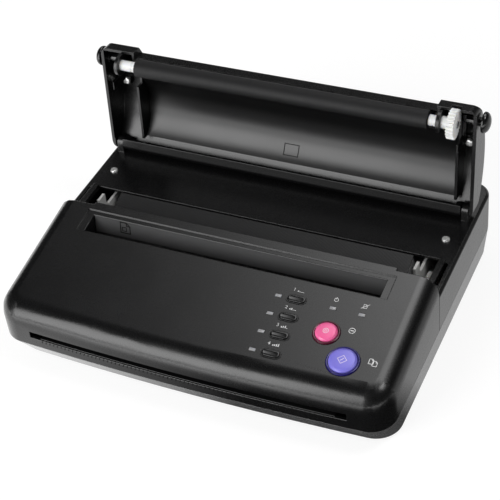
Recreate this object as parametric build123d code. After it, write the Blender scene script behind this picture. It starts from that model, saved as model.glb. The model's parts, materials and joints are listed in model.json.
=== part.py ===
"""Thermal stencil copier: a low desk machine with a domed hinged cover, shown open.

Millimetres, X to the right, Y to the rear, Z up. The origin is on the table below the middle of
the machine. The cover and all it carries are drawn closed on the deck and then swung open about
the hinge line, so what meets in use lines up by construction.
"""

from build123d import *
import os
from math import acos, asin, atan2, cos, degrees, hypot, pi, radians, sin, sqrt, tan

# --- casing -------------------------------------------------------------------------------------
PAPER_HALF_WIDTH = 109.0  # half of the widest sheet it takes
BEHIND_HINGE = 40.5  # from the hinge line to the rear-most line
DECK_SIDE = 11.2  # width of the deck beside the roller bay
WALL = 2.5
FOOT_PROUD = 2.0  # the feet lift the base off the table
BASE_HEIGHT = 21.0
FRONT_BOW = 4.0  # how far the middle of the front stands ahead of its ends
FRONT_CORNER = 18.0
REAR_CORNER = 14.0
BASE_SETBACK = 13.5  # the base slopes back under the front
BASE_SIDE_TAPER = 2.0
BASE_REAR_TAPER = 3.0

# --- control panel ------------------------------------------------------------------------------
PANEL_FRONT_HEIGHT = 51.1  # of the panel's plane above the table, at the front-most line
PANEL_SLOPE = 9.54  # degrees
PANEL_EDGE_RADIUS = 13.0
PANEL_EDGE_BANDS = 4
EDGE_STEP = 5.0  # the space inside steps in under the rounded edge
EDGE_STEP_DROP = 9.0
LIP_DEPTH = 105.7  # front-most line to the panel's rear lip
LIP_STEP = 2.5  # the lip is set back where the cover's ears come down
RECESS_MARGIN = 5.2  # feed recess and exit slot, past the sheet at each side
RECESS_RIM = 2.0
RECESS_FRONT = 79.5
RECESS_REAR = 98.8
RECESS_SINK = 1.0
THROAT_FRONT = 80.7
THROAT_REAR = 95.6
THROAT_FOOT_HEIGHT = 52.0
THROAT_LEAN = 2.2  # the throat's rear wall comes this far forward on its way down
THROAT_WALL = 1.8
EXIT_FLOOR = 30.1
EXIT_HEIGHT = 5.3

# --- buttons and lamps, placed by their distance behind the front-most line -----------------------
PILL_X = 58.0
PILL_FIRST = 19.4
PILL_PITCH = 14.75
PILL_COUNT = 4
PILL_LENGTH = 12.0
PILL_WIDTH = 5.0
PILL_RISE = 1.2
PILL_CHAMFER = 0.5
PILL_RIM = 0.9  # width of the dark rim around a pill
PILL_RIM_RISE = 0.3
PILL_END_SIDES = 5
LAMP_X = 45.3
LAMP_LENGTH = 4.2
LAMP_WIDTH = 2.2
LAMP_RISE = 0.2
STATUS_LAMP_XS = (83.3, 103.0)
STATUS_LAMP_PLACE = 63.6
STOP_X = 86.3
STOP_PLACE = 44.2
STOP_DIAMETER = 14.6
START_X = 104.0
START_PLACE = 26.6
START_DIAMETER = 18.4
ROUND_RISE = 3.0
ROUND_SWELL = 1.1
BEZEL_WIDTH = 1.7
BEZEL_RISE = 1.1
BEZEL_CHAMFER = 0.5
ROUND_SIDES = 24  # flat sides of a small round piece
HEAD_SIDES = 12
SMALL_SIDES = 8
CAP_BANDS = 4
BUTTON_GAP = 0.3
BUTTON_FLANGE = 0.9  # a flange under the panel keeps each button in
BUTTON_FLANGE_THICKNESS = 1.0
BUTTON_TRAVEL = 0.8
STEM_RADIUS = 1.6
SWITCH_SIDE = 6.0
SWITCH_HEIGHT = 3.4
SWITCH_BOARD_THICKNESS = 1.6
SWITCH_BOARD_DROP = 8.2  # from the panel's outer face to the board's top
BOARD_POST_INSETS = (101.5, 24.5)  # in from the side of the machine
BOARD_POST_PLACES = (14.0, 71.0)
BOARD_POST_WIDTH = 6.0
BOARD_EDGE = 4.0  # from the middle of a post to the board's edge

# --- deck and cover hinge -------------------------------------------------------------------------
DECK_HEIGHT = 54.0
DECK_EDGE_CHAMFER = 1.8
DECK_AHEAD = 47.0  # deck ahead of the hinge line, behind the roller bay
BAY_MARGIN = 2.5  # beside the gear train
COVER_JOINT = 0.3  # gap between the two upper casings
FIN_WIDTH = 4.3
FIN_SLOT_WIDTH = 2.4
FIN_SLOT_AHEAD = 72.5  # of the hinge line
FIN_SLOT_LENGTH = 23.0
FIN_RISE = 1.6
DECK_SCREW_INSET = 13.4
DECK_SCREW_AHEAD = 27.5  # of the hinge line
DECK_POST_WIDTH = 8.0
HINGE_PLACE = 185.5
HINGE_RISE = 6.5  # hinge axis above the deck
LEAN_BACK = 4.8  # degrees past upright when open
PIN_RADIUS = 1.5
PIN_RUNNING = 0.05
KNUCKLE_INSET = 8.5  # from the outside of the cover's cheek
KNUCKLE_WIDTH = 5.0
KNUCKLE_RADIUS = 5.0
KNUCKLE_GAP = 0.5  # beside a knuckle
KNUCKLE_CLEARANCE = 1.2  # round a knuckle as the cover turns
HINGE_BOSS_RADIUS = 4.6
HINGE_BOSS_LENGTH = 5.0
STOP_RIB_GAP = 0.35
STOP_RIB_INSETS = (50.0, 20.0)  # from the outside of the cheek
STOP_RIB_DEPTH = 3.0

# --- cover, measured from the hinge axis: reach along it and rise above the axis when closed --------
COVER_INSET = 1.5  # from the side of the machine
COVER_WALL = 2.2
CHEEK_WALL = 2.5
CHEEK_DROP = 5.5
RIM_REACH = 75.3
EAR_REACH = 81.5
RIM_WALL = 2.0
RIM_DROP = -1.0  # the rim's inner wall comes down to this rise
EAR_CLEARANCE = 3.7  # the ears stand outside the sheet
LIP_EAR_GAP = 0.2
EAR_WALL = 2.0
GEAR_NOTCH_RISE = -0.8
CROWN_FRONT_RISE = 3.0
CROWN_RISE = 17.5
CROWN_TOP_REACH = 38.0
EAR_CORNER = 6.0
TAIL_CORNER = 9.0
SHEET_RADIUS = 36.0
SHEET_CENTRE_REACH = 33.0
SHEET_CENTRE_RISE = -22.75
SHEET_START_REACH = 7.5
SHEET_END_REACH = 59.0
SHEET_THICKNESS = 1.2
LEFT_WALL_CLEARANCE = 6.0  # end wall outside the sheet
RIGHT_WALL_INSET = 1.9  # end wall behind the gear's inner face
BRACKET_PLATE = 2.0
BRACKET_REACH = 62.0
ARM_PLATE = 2.5
ARM_GAP = 0.8  # beside the side frames
ARM_END_RADIUS = 7.5

# --- platen roller ----------------------------------------------------------------------------------
PLATEN_REACH = 72.4
PLATEN_RISE = -9.6
PLATEN_RADIUS = 6.35
PLATEN_SHORT = 0.5  # platen shorter than the sheet, at each end
PLATEN_SHAFT_RADIUS = 2.5
BUSH_RADIUS = 3.8
EAR_GEAR_GAP = 0.9  # around the gear where it comes through the ear
RUNNING_GAP = 0.05
NIP_GAP = 0.25  # platen to thermal head with the cover down

# --- gears ------------------------------------------------------------------------------------------
MODULE = 0.8
ADDENDUM = 0.8  # in modules
DEDENDUM = 1.05
PRESSURE_ANGLE = 20.0
BACKLASH = 0.22
CENTRE_EXTRA = 0.06  # added to each pair's centre distance
LID_MESH_EXTRA = 0.2
GEAR_STANDOFF = 2.5  # between frame and gears
GEAR_WIDTH = 5.0
HUB_RADIUS = 4.2
SMALL_TEETH = 24
LARGE_TEETH = 40
FEED_TEETH = 30
PINION_TEETH = 14
STUD_RADIUS = 2.0
STUD_HEAD_RADIUS = 3.4
STUD_HEAD_THICKNESS = 1.0
STUD_GAP = 0.3
PINION_HOLE_GAP = 1.6
REAR_IDLER_ANGLE = 4.0  # degrees up from the drive gear
PINION_ANGLE = -15.0
LARGE_IDLER_ANGLE = -20.0

# --- frames, thermal head, scanner and feed ----------------------------------------------------------
FRAME_CLEARANCE = 9.3  # side frames outside the sheet
FRAME_THICKNESS = 2.0
FRAME_FRONT = 36.0
FRAME_REAR = 168.0
FRAME_TOP = 48.0
FRAME_CORNER = 10.0
FLANGE_WIDTH = 7.0
TAB_REAR = 126.5
TAB_TOP = 58.7
FRONT_TAB_FRONT = 102.0
FRONT_TAB_TOP = 52.7
SEAT_GAP = 1.0  # around the hub as the cover swings down
HEAD_MARGIN = 3.0  # head and scanner, past the sheet at each side
HEAD_SLOPE = 19.0
HEAD_BOARD_THICKNESS = 1.5
HEAD_AHEAD = 11.0  # thermal head, ahead of and behind the nip
HEAD_BEHIND = 24.2
SINK_THICKNESS = 8.0
SINK_FIN_COUNT = 5
SINK_FIN_DEPTH = 3.0
BRACKET_BASE = 25.0
BRACKET_THICKNESS = 2.0
HEAD_BRACKET_FRONT = 108.0
HEAD_BRACKET_REAR = 128.6
HEAD_BRACKET_FLANGE = 5.0
SPRING_RADIUS = 4.0
SPRING_PLACE = 120.5
SPRING_XS = (-80.0, 0.0, 80.0)
FEED_PLACE = 49.0
FEED_ROLLER_RADIUS = 7.0
FEED_ROLLER_SHORT = 1.0  # shorter than the sheet, at each end
FEED_SHAFT_RADIUS = 3.0
FEED_GAP = 0.3
CHUTE_TOP = 30.8
CHUTE_THICKNESS = 2.0
CHUTE_NOSE_THICKNESS = 0.6
CHUTE_SIDE_GAP = 0.3
CHUTE_NOSE_SHORT = 2.5
CHUTE_NOSE_PLACE = 14.0
CHUTE_NOSE_INSET = 0.8
CHUTE_TURN_RADIUS = 9.0
SCANNER_WIDTH = 16.0
SCANNER_HEIGHT = 15.0
SCANNER_GAP = 0.3
SCANNER_LEG_INSET = 6.0
SCANNER_LEG_WIDTH = 12.0
SCANNER_GLASS_THICKNESS = 1.8
SCANNER_GLASS_WIDTH = 10.0

# --- motor, boards, rear fittings, small parts --------------------------------------------------------
MOTOR_RADIUS = 14.0
MOTOR_LENGTH = 20.0
MOTOR_SHAFT_RADIUS = 1.5
MOTOR_SHAFT_GAP = 0.3
MOTOR_EAR_SPREAD = 17.5
BOARD_THICKNESS = 1.6
BOARD_RISE = 8.0
MAIN_BOARD_SIZE = (96.0, 58.0)
POWER_BOARD_SIZE = (84.0, 58.0)
BOARD_XS = (40.0, -66.0)  # middles of the main and the power board
BOARD_BEHIND = 34.0  # from a board's middle to the rear-most line
BOARD_HOLE_INSET = 4.0
INLET_X = -92.0
INLET_WIDTH = 27.2
INLET_HEIGHT = 19.6
INLET_FLANGE = 3.2
INLET_DEPTH = 18.0
SWITCH_X = -52.0
ROCKER_WIDTH = 13.0
ROCKER_HEIGHT = 19.0
ROCKER_TILT = 10.0
ROCKER_DEPTH = 3.4  # of its pivot behind the rear face
SWITCH_WALL = 1.3
PIVOT_RADIUS = 1.0
PIVOT_REACH = 0.6
REAR_FITTING_HEIGHT = 38.0
FOOT_RADIUS = 7.0
FOOT_SIDE_INSET = 29.5
FOOT_FRONT_INSET = 34.0
FOOT_REAR_INSET = 26.0
SCREW_HEAD_RADIUS = 2.8
SCREW_HEAD_HEIGHT = 1.7
SCREW_SHANK_RADIUS = 1.4
SCREW_LENGTH = 8.0
CASE_POST_WIDTH = 7.0
CASE_SCREW_SIDE_INSET = 17.5
CASE_SCREW_FRONT_INSET = 30.0
CASE_SCREW_REAR_INSET = 14.0
RELEASE_DOME_RADIUS = 7.2
RELEASE_DOME_RISE = 5.4
RELEASE_DOME_SKIRT = 1.2
RELEASE_GAP = 0.3
RELEASE_COLLAR_RADIUS = 4.2
RELEASE_COLLAR_WIDTH = 1.5
RELEASE_REACH = 70.2
RELEASE_RISE = 2.3
RELEASE_STEM_RADIUS = 3.0
RELEASE_TRAVEL = 1.8
HOOK_GAP = 0.3  # inside the deck opening
HOOK_BAR_SIDE = 1.0
HOOK_NOSE = 2.0
HOOK_THICKNESS = 1.8
HOOK_FRONT_REACH = 58.0
HOOK_REAR_REACH = 52.0
HOOK_DROP = 12.0
HOOK_BAR_LOW = 1.8
HOOK_BAR_HIGH = 5.4
TAB_SCREW_INSET = 9.0  # from the outside of the cheek
TAB_POST_WIDTH = 6.0
TAB_POST_HEIGHT = 4.0
TAB_POST_SINK = 0.5
TAB_SCREW_LENGTH = 3.5
TAB_SCREW_REACH = 47.0

# --- places worked out from the sizes above -------------------------------------------------------------
FRAME_X = PAPER_HALF_WIDTH + FRAME_CLEARANCE
GEAR_X = FRAME_X + FRAME_THICKNESS + GEAR_STANDOFF
BAY_HALF_WIDTH = GEAR_X + GEAR_WIDTH + BAY_MARGIN
HALF_WIDTH = BAY_HALF_WIDTH + DECK_SIDE
COVER_HALF_WIDTH = HALF_WIDTH - COVER_INSET
BODY_DEPTH = HINGE_PLACE + BEHIND_HINGE
FAR = 2 * BODY_DEPTH + 2 * HALF_WIDTH  # past every face, for cutting tools
EAR_INNER_X = PAPER_HALF_WIDTH + EAR_CLEARANCE
LIP_HALF_WIDTH = EAR_INNER_X - LIP_EAR_GAP
RECESS_HALF_WIDTH = PAPER_HALF_WIDTH + RECESS_MARGIN
EXIT_HALF_WIDTH = RECESS_HALF_WIDTH
BOARD_POST_XS = tuple(HALF_WIDTH - inset for inset in BOARD_POST_INSETS)
KNUCKLE_X = COVER_HALF_WIDTH - KNUCKLE_INSET
TAB_SCREW_X = COVER_HALF_WIDTH - TAB_SCREW_INSET
HOOK_OUTER_X = BAY_HALF_WIDTH - HOOK_GAP
LEFT_WALL_X = -PAPER_HALF_WIDTH - LEFT_WALL_CLEARANCE
RIGHT_WALL_X = GEAR_X + RIGHT_WALL_INSET
LEFT_ARM_X = -(FRAME_X + FRAME_THICKNESS + ARM_GAP)
RIGHT_ARM_X = FRAME_X - ARM_GAP - ARM_PLATE
PLATEN_HALF_LENGTH = PAPER_HALF_WIDTH - PLATEN_SHORT
BUSH_START_X = PAPER_HALF_WIDTH
HEAD_HALF_WIDTH = PAPER_HALF_WIDTH + HEAD_MARGIN
SCANNER_HALF_LENGTH = PAPER_HALF_WIDTH + HEAD_MARGIN
FEED_ROLLER_HALF_LENGTH = PAPER_HALF_WIDTH - FEED_ROLLER_SHORT
CHUTE_HALF_WIDTH = FRAME_X - CHUTE_SIDE_GAP
CHUTE_NOSE_HALF_WIDTH = PAPER_HALF_WIDTH - CHUTE_NOSE_SHORT
DECK_SCREW_X = HALF_WIDTH - DECK_SCREW_INSET
CASE_SCREW_X = HALF_WIDTH - CASE_SCREW_SIDE_INSET
FOOT_X = HALF_WIDTH - FOOT_SIDE_INSET
DECK_FRONT = HINGE_PLACE - DECK_AHEAD
FIN_SLOT_FRONT = HINGE_PLACE - FIN_SLOT_AHEAD
DECK_SCREW_PLACE = HINGE_PLACE - DECK_SCREW_AHEAD
CASE_SCREW_PLACES = (CASE_SCREW_FRONT_INSET, BODY_DEPTH - CASE_SCREW_REAR_INSET)
FOOT_PLACES = (FOOT_FRONT_INSET, BODY_DEPTH - FOOT_REAR_INSET)
MAIN_BOARD_CENTRE = (BOARD_XS[0], BODY_DEPTH - BOARD_BEHIND)
POWER_BOARD_CENTRE = (BOARD_XS[1], BODY_DEPTH - BOARD_BEHIND)
FRONT_Y = -BODY_DEPTH / 2
REAR_Y = BODY_DEPTH / 2
SEAM_Z = FOOT_PROUD + BASE_HEIGHT
HINGE_Y = FRONT_Y + HINGE_PLACE
HINGE_Z = DECK_HEIGHT + HINGE_RISE
HINGE_AXIS = Axis((0, HINGE_Y, HINGE_Z), (1, 0, 0))
OPEN_ANGLE = 90 + LEAN_BACK
SLOPE_RISE = tan(radians(PANEL_SLOPE))
PLATEN_Y = HINGE_Y - PLATEN_REACH
PLATEN_Z = HINGE_Z + PLATEN_RISE
FEED_Y = FRONT_Y + FEED_PLACE
FEED_Z = CHUTE_TOP + FEED_GAP + FEED_ROLLER_RADIUS
FLOOR_TOP = FOOT_PROUD + WALL


def at(place):
    """The Y of a place given by its distance behind the front-most line."""
    return FRONT_Y + place


def panel_height(y):
    """The Z of the panel's outer plane at a Y."""
    return PANEL_FRONT_HEIGHT + (y - FRONT_Y) * SLOPE_RISE


def block(x0, x1, y0, y1, z0, z1):
    """A box between two corners."""
    size = (x1 - x0, y1 - y0, z1 - z0)
    return Pos((x0 + x1) / 2, (y0 + y1) / 2, (z0 + z1) / 2) * Box(*size)


def rod(x0, x1, y, z, radius):
    """A round bar along X."""
    return Pos((x0 + x1) / 2, y, z) * Rot(0, 90, 0) * Cylinder(radius, x1 - x0)


def post(x, y, z0, z1, radius):
    """A round bar along Z."""
    return Pos(x, y, (z0 + z1) / 2) * Cylinder(radius, z1 - z0)


def prism(x, y, z0, z1, radius, sides=SMALL_SIDES):
    """An upright bar with flat sides, for what is small and repeats."""
    return extrude(Pos(x, y, z0) * RegularPolygon(radius, sides), z1 - z0)


def square_post(x, y, z0, z1, width):
    """An upright square post."""
    half = width / 2
    return block(x - half, x + half, y - half, y + half, z0, z1)


def bar(x0, x1, y, z, radius, sides=SMALL_SIDES):
    """A flat-sided bar along X."""
    return Pos(x0, y, z) * Rot(0, 90, 0) * prism(0, 0, 0, x1 - x0, radius, sides)


def turned(*sections):
    """A turned piece drawn with flat sides, from its (height, radius) sections."""
    flat = cos(pi / ROUND_SIDES)
    bands = []
    for (low, wide), (high, narrow) in zip(sections, sections[1:]):
        taper = degrees(atan2((wide - narrow) * flat, high - low))
        bands.append(extrude(Pos(0, 0, low) * RegularPolygon(wide, ROUND_SIDES), high - low, taper=taper))
    return sum(bands[1:], bands[0])


def swelling(radius, base, rise):
    """The (height, radius) sections of a round cap from its rim to its flat top."""
    sphere = (radius ** 2 + rise ** 2) / (2 * rise)
    edge = asin(radius / sphere)
    turns = [edge * (1 - band / CAP_BANDS) for band in range(CAP_BANDS)]
    return [(base + rise - sphere * (1 - cos(turn)), sphere * sin(turn)) for turn in turns]


def slab(face, x0, x1):
    """A profile drawn in Y and Z, extruded along X."""
    return extrude(Pos(x0, 0, 0) * face, x1 - x0, dir=(1, 0, 0))


def yz_face(*edges):
    """A closed face from edges given in the Y-Z plane."""
    return make_face(list(edges))


def yz(y, z):
    """A point of a Y-Z profile."""
    return (0, y, z)


def cover_yz(reach, rise):
    """A profile point of the closed cover, by its reach from and rise above the hinge axis."""
    return (0, HINGE_Y - reach, HINGE_Z + rise)


def yz_box(x0, x1, reach0, reach1, rise0, rise1):
    """A box of the closed cover, between two reaches and two rises."""
    return block(x0, x1, HINGE_Y - reach1, HINGE_Y - reach0, HINGE_Z + rise0, HINGE_Z + rise1)


def cover_rod(x0, x1, reach, rise, radius):
    """A round bar along X in the closed cover."""
    return rod(x0, x1, HINGE_Y - reach, HINGE_Z + rise, radius)


def swung(shape):
    """A piece of the cover, swung from closed to open."""
    return shape.rotate(HINGE_AXIS, -OPEN_ANGLE)


def both_sides(shape):
    """A shape and its mirror image across the middle plane."""
    return shape + mirror(shape, about=Plane.YZ)


# --- casing pieces ----------------------------------------------------------------------------------------


def outline(inset, setback, side_taper, rear_taper):
    """The machine's plan, with its bowed front and round corners."""
    half = HALF_WIDTH - inset - side_taper
    front = FRONT_Y + inset + setback
    rear = REAR_Y - inset - rear_taper
    ends = front + FRONT_BOW
    bow = ThreePointArc((-half, ends), (0, front), (half, ends))
    sides = Polyline((half, ends), (half, rear), (-half, rear), (-half, ends))
    plan = make_face(bow + sides)
    corners = plan.vertices().sort_by(Axis.Y)
    rounded = fillet(corners[:2], FRONT_CORNER - inset)
    return fillet(rounded.vertices().sort_by(Axis.Y)[-2:], REAR_CORNER - inset)


def base_block(inset):
    """The tapered solid of the base, or the space inside it."""
    low = outline(inset, BASE_SETBACK, BASE_SIDE_TAPER, BASE_REAR_TAPER)
    high = outline(inset, 0, 0, 0)
    return loft([Pos(0, 0, FOOT_PROUD) * low, Pos(0, 0, SEAM_Z) * high])


def screw_places():
    """The case screws' and the feet's places on the base."""
    return [(side * CASE_SCREW_X, at(place)) for side in (-1, 1) for place in CASE_SCREW_PLACES]


def foot_places():
    return [(side * FOOT_X, at(place)) for side in (-1, 1) for place in FOOT_PLACES]


def board_corners(size, centre):
    """The places of the four posts under a board."""
    dx = size[0] / 2 - BOARD_HOLE_INSET
    dy = size[1] / 2 - BOARD_HOLE_INSET
    return [(centre[0] + i * dx, at(centre[1]) + j * dy) for i in (-1, 1) for j in (-1, 1)]


def make_base_pan():
    """The open base tray, with posts for boards and casing."""
    pan = base_block(0) - (base_block(WALL) & block(-FAR, FAR, -FAR, FAR, FLOOR_TOP, FAR))
    for size, centre in ((MAIN_BOARD_SIZE, MAIN_BOARD_CENTRE), (POWER_BOARD_SIZE, POWER_BOARD_CENTRE)):
        for x, y in board_corners(size, centre):
            pan += square_post(x, y, FLOOR_TOP, FOOT_PROUD + BOARD_RISE, BOARD_POST_WIDTH)
    for x, y in screw_places():
        pan += square_post(x, y, FLOOR_TOP, SEAM_Z, CASE_POST_WIDTH)
        pan -= prism(x, y, 0, FAR, SCREW_SHANK_RADIUS)
    return pan


def make_rubber_feet():
    """Four round feet under the base."""
    return [prism(x, y, 0, FOOT_PROUD, FOOT_RADIUS, HEAD_SIDES) for x, y in foot_places()]


def panel_plane(drop):
    """The panel's plane, or one below it, facing up."""
    origin = (0, FRONT_Y, PANEL_FRONT_HEIGHT - drop / cos(radians(PANEL_SLOPE)))
    normal = (0, -sin(radians(PANEL_SLOPE)), cos(radians(PANEL_SLOPE)))
    return Plane(origin=origin, x_dir=(1, 0, 0), z_dir=normal)


def sloped(shape):
    """A level shape leant to the panel's slope about the front-most line."""
    lean = Matrix([[1, 0, 0, 0], [0, 1, 0, 0], [0, SLOPE_RISE, 1, -FRONT_Y * SLOPE_RISE], [0, 0, 0, 1]])
    return shape.transform_geometry(lean)


def panel_block():
    """The rounded solid of the front cover, its edge drawn in flat bands."""
    levels = [(0, 0)]
    for band in range(PANEL_EDGE_BANDS + 1):
        turn = radians(90) * band / PANEL_EDGE_BANDS
        levels.append((PANEL_FRONT_HEIGHT - PANEL_EDGE_RADIUS * (1 - sin(turn)), PANEL_EDGE_RADIUS * (1 - cos(turn))))
    level = loft([Pos(0, 0, z) * outline(inset, 0, 0, 0) for z, inset in levels], ruled=True)
    return sloped(level) & block(-FAR, FAR, -FAR, at(LIP_DEPTH), SEAM_Z, FAR)


def panel_space():
    """The space inside the front cover, stepped in under its rounded edge."""
    space = []
    for inset, drop in ((WALL, EDGE_STEP_DROP), (WALL + EDGE_STEP, WALL)):
        column = extrude(Pos(0, 0, SEAM_Z) * outline(inset, 0, 0, 0), FAR)
        column &= block(-FAR, FAR, -FAR, at(LIP_DEPTH) + 1, 0, FAR)
        space.append(split(column, bisect_by=panel_plane(drop), keep=Keep.BOTTOM))
    return space[0] + space[1]


def panel_frame(x, place):
    """A place on the panel's outer face, for what is set square to it."""
    y = at(place)
    normal = (0, -sin(radians(PANEL_SLOPE)), cos(radians(PANEL_SLOPE)))
    return Plane(origin=(x, y, panel_height(y)), x_dir=(1, 0, 0), z_dir=normal).location


def pill_places():
    return [(PILL_X, PILL_FIRST + row * PILL_PITCH) for row in range(PILL_COUNT)]


def lamp_places():
    rows = [(LAMP_X, PILL_FIRST + row * PILL_PITCH) for row in range(PILL_COUNT)]
    return rows + [(x, STATUS_LAMP_PLACE) for x in STATUS_LAMP_XS]


def round_places():
    return [(STOP_X, STOP_PLACE, STOP_DIAMETER), (START_X, START_PLACE, START_DIAMETER)]


def throat_profile(shift):
    """The rear guide wall of the feed throat, moved back by shift, as a line of points."""
    top = panel_height(at(THROAT_REAR))
    return [yz(at(THROAT_REAR) + shift, top), yz(at(THROAT_REAR) - THROAT_LEAN + shift, THROAT_FOOT_HEIGHT)]


def throat_walls():
    """The walls that lead the sheet down from the feed recess."""
    near, foot = throat_profile(0)
    far, far_foot = throat_profile(THROAT_WALL)
    rear = slab(yz_face(Polyline(near, foot, far_foot, far, close=True)),
                -PAPER_HALF_WIDTH - THROAT_WALL, PAPER_HALF_WIDTH + THROAT_WALL)
    front_top = panel_height(at(THROAT_FRONT)) - WALL / 2
    side = Polyline(yz(at(THROAT_FRONT), front_top), yz(at(THROAT_FRONT), THROAT_FOOT_HEIGHT),
                    foot, near, close=True)
    end = slab(yz_face(side), PAPER_HALF_WIDTH, PAPER_HALF_WIDTH + THROAT_WALL)
    return rear + both_sides(end)


def feed_recess():
    """The shallow step around the throat's mouth."""
    plane = panel_plane(RECESS_SINK)
    tool = block(-RECESS_HALF_WIDTH, RECESS_HALF_WIDTH, at(RECESS_FRONT), at(RECESS_REAR), 0, FAR)
    return split(tool, bisect_by=plane, keep=Keep.TOP)


def pill_face(length, width):
    """A pill's outline, its round ends drawn with a few flat sides."""
    radius, centre, step = width / 2, (length - width) / 2, pi / PILL_END_SIDES
    end = [(centre + radius * sin(step * i), radius * cos(step * i)) for i in range(PILL_END_SIDES + 1)]
    return make_face(Polyline(*end, *[(-x, -y) for x, y in end], close=True))


def pill_bar(place, length, width, z0, z1):
    """A bar of pill-shaped section square to the panel."""
    return place * extrude(Pos(0, 0, z0) * pill_face(length, width), z1 - z0)


def lamp_bar(place, z0, z1):
    """A lamp's window, or the hole for it, between two heights over the panel."""
    return place * block(-LAMP_LENGTH / 2, LAMP_LENGTH / 2, -LAMP_WIDTH / 2, LAMP_WIDTH / 2, z0, z1)


def throat_space():
    """The space between the throat's walls, open above and below."""
    near, foot = throat_profile(0)
    top = Polyline(yz(at(THROAT_FRONT), 0), yz(at(THROAT_REAR) - THROAT_LEAN, 0), foot, near,
                   yz(at(THROAT_REAR), FAR), yz(at(THROAT_FRONT), FAR), close=True)
    return slab(yz_face(top), -PAPER_HALF_WIDTH, PAPER_HALF_WIDTH)


def recess_floor():
    """The thick floor of the feed recess, hung under the panel's skin."""
    floor = block(-RECESS_HALF_WIDTH - RECESS_RIM, RECESS_HALF_WIDTH + RECESS_RIM, at(RECESS_FRONT) - RECESS_RIM,
                  at(RECESS_REAR) + RECESS_RIM, 0, FAR)
    floor = split(floor, bisect_by=panel_plane(WALL + 0.8), keep=Keep.TOP)
    return split(floor, bisect_by=panel_plane(WALL / 2), keep=Keep.BOTTOM)


def make_front_cover():
    """The moulded control panel with its rounded shoulders, feed recess, throat and exit slot."""
    cover = panel_block() - panel_space()
    cover -= both_sides(block(LIP_HALF_WIDTH, FAR, at(LIP_DEPTH) - LIP_STEP, FAR, 0, FAR))
    cover += recess_floor()
    cover += throat_walls()
    cover -= feed_recess()
    cover -= throat_space()
    cover -= block(-EXIT_HALF_WIDTH, EXIT_HALF_WIDTH, -FAR, FRONT_Y + FRONT_BOW + WALL + 1,
                   EXIT_FLOOR, EXIT_FLOOR + EXIT_HEIGHT)
    for x, place in pill_places():
        cover -= pill_bar(panel_frame(x, place), PILL_LENGTH + 2 * PILL_RIM, PILL_WIDTH + 2 * PILL_RIM,
                          -WALL - 1, 1)
    for x, place in lamp_places():
        cover -= lamp_bar(panel_frame(x, place), -WALL - 1, 1)
    for x, place, diameter in round_places():
        hole = diameter / 2 + BEZEL_WIDTH
        cover -= panel_frame(x, place) * turned((-WALL - 1, hole), (1, hole))
    for x, place in board_posts():
        cover += panel_frame(x, place) * square_post(0, 0, -SWITCH_BOARD_DROP, -WALL / 2, BOARD_POST_WIDTH)
    return cover


def board_posts():
    """Where the control board hangs from the panel."""
    return [(x, place) for place in BOARD_POST_PLACES for x in BOARD_POST_XS]


def make_pill_rims():
    """The thin dark rims that the pill buttons slide in."""
    rims = []
    for x, place in pill_places():
        frame = panel_frame(x, place)
        ring = pill_bar(frame, PILL_LENGTH + 2 * PILL_RIM, PILL_WIDTH + 2 * PILL_RIM, -WALL, PILL_RIM_RISE)
        hole = pill_bar(frame, PILL_LENGTH + 2 * BUTTON_GAP, PILL_WIDTH + 2 * BUTTON_GAP, -WALL - 1, 1)
        rims.append(ring - hole)
    return rims


def make_pill_button(x, place):
    """A pill-shaped key with its flange and stem."""
    frame = panel_frame(x, place)
    under = -WALL - BUTTON_GAP
    cap = pill_bar(frame, PILL_LENGTH, PILL_WIDTH, under, PILL_RISE)
    cap = chamfer(cap.faces().sort_by(Axis.Z)[-1].edges(), PILL_CHAMFER)
    length, width = PILL_LENGTH + 2 * BUTTON_FLANGE, PILL_WIDTH + 2 * BUTTON_FLANGE
    flange = block(-length / 2, length / 2, -width / 2, width / 2, under - BUTTON_FLANGE_THICKNESS, under)
    return cap + frame * flange + button_stem(frame)


def button_stem(frame):
    """The stem that reaches down to a button's switch."""
    switch_top = -SWITCH_BOARD_DROP + SWITCH_HEIGHT
    return frame * prism(0, 0, switch_top + BUTTON_TRAVEL + BUTTON_GAP, -WALL - BUTTON_GAP, STEM_RADIUS)


def make_round_button(x, place, diameter):
    """A large round key with a swelling top, its flange and stem."""
    frame = panel_frame(x, place)
    radius, under = diameter / 2, -WALL - BUTTON_GAP
    cap = turned((under, radius), *swelling(radius, ROUND_RISE - ROUND_SWELL, ROUND_SWELL))
    flange = prism(0, 0, under - BUTTON_FLANGE_THICKNESS, under, radius + BUTTON_FLANGE)
    return frame * cap + frame * flange + button_stem(frame)


def make_bezel(x, place, diameter):
    """The dark ring around a round key."""
    outer, inner = diameter / 2 + BEZEL_WIDTH, diameter / 2 + BUTTON_GAP
    edge = BEZEL_RISE - BEZEL_CHAMFER
    ring = turned((-WALL, outer), (edge, outer), (BEZEL_RISE, outer - BEZEL_CHAMFER))
    return panel_frame(x, place) * (ring - turned((-WALL - 1, inner), (BEZEL_RISE + 1, inner)))


def make_lamp_lenses():
    """The six small lamp windows."""
    return [lamp_bar(panel_frame(x, place), -WALL, LAMP_RISE) for x, place in lamp_places()]


def make_control_board():
    """The board under the panel that carries the key switches."""
    low, high = board_posts()[0], board_posts()[3]
    centre = panel_frame((low[0] + high[0]) / 2, (low[1] + high[1]) / 2)
    width = high[0] - low[0] + 2 * BOARD_EDGE
    depth = (high[1] - low[1]) / cos(radians(PANEL_SLOPE)) + 2 * BOARD_EDGE
    drop = SWITCH_BOARD_DROP + SWITCH_BOARD_THICKNESS / 2
    return centre * Pos(0, 0, -drop) * Box(width, depth, SWITCH_BOARD_THICKNESS)


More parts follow.
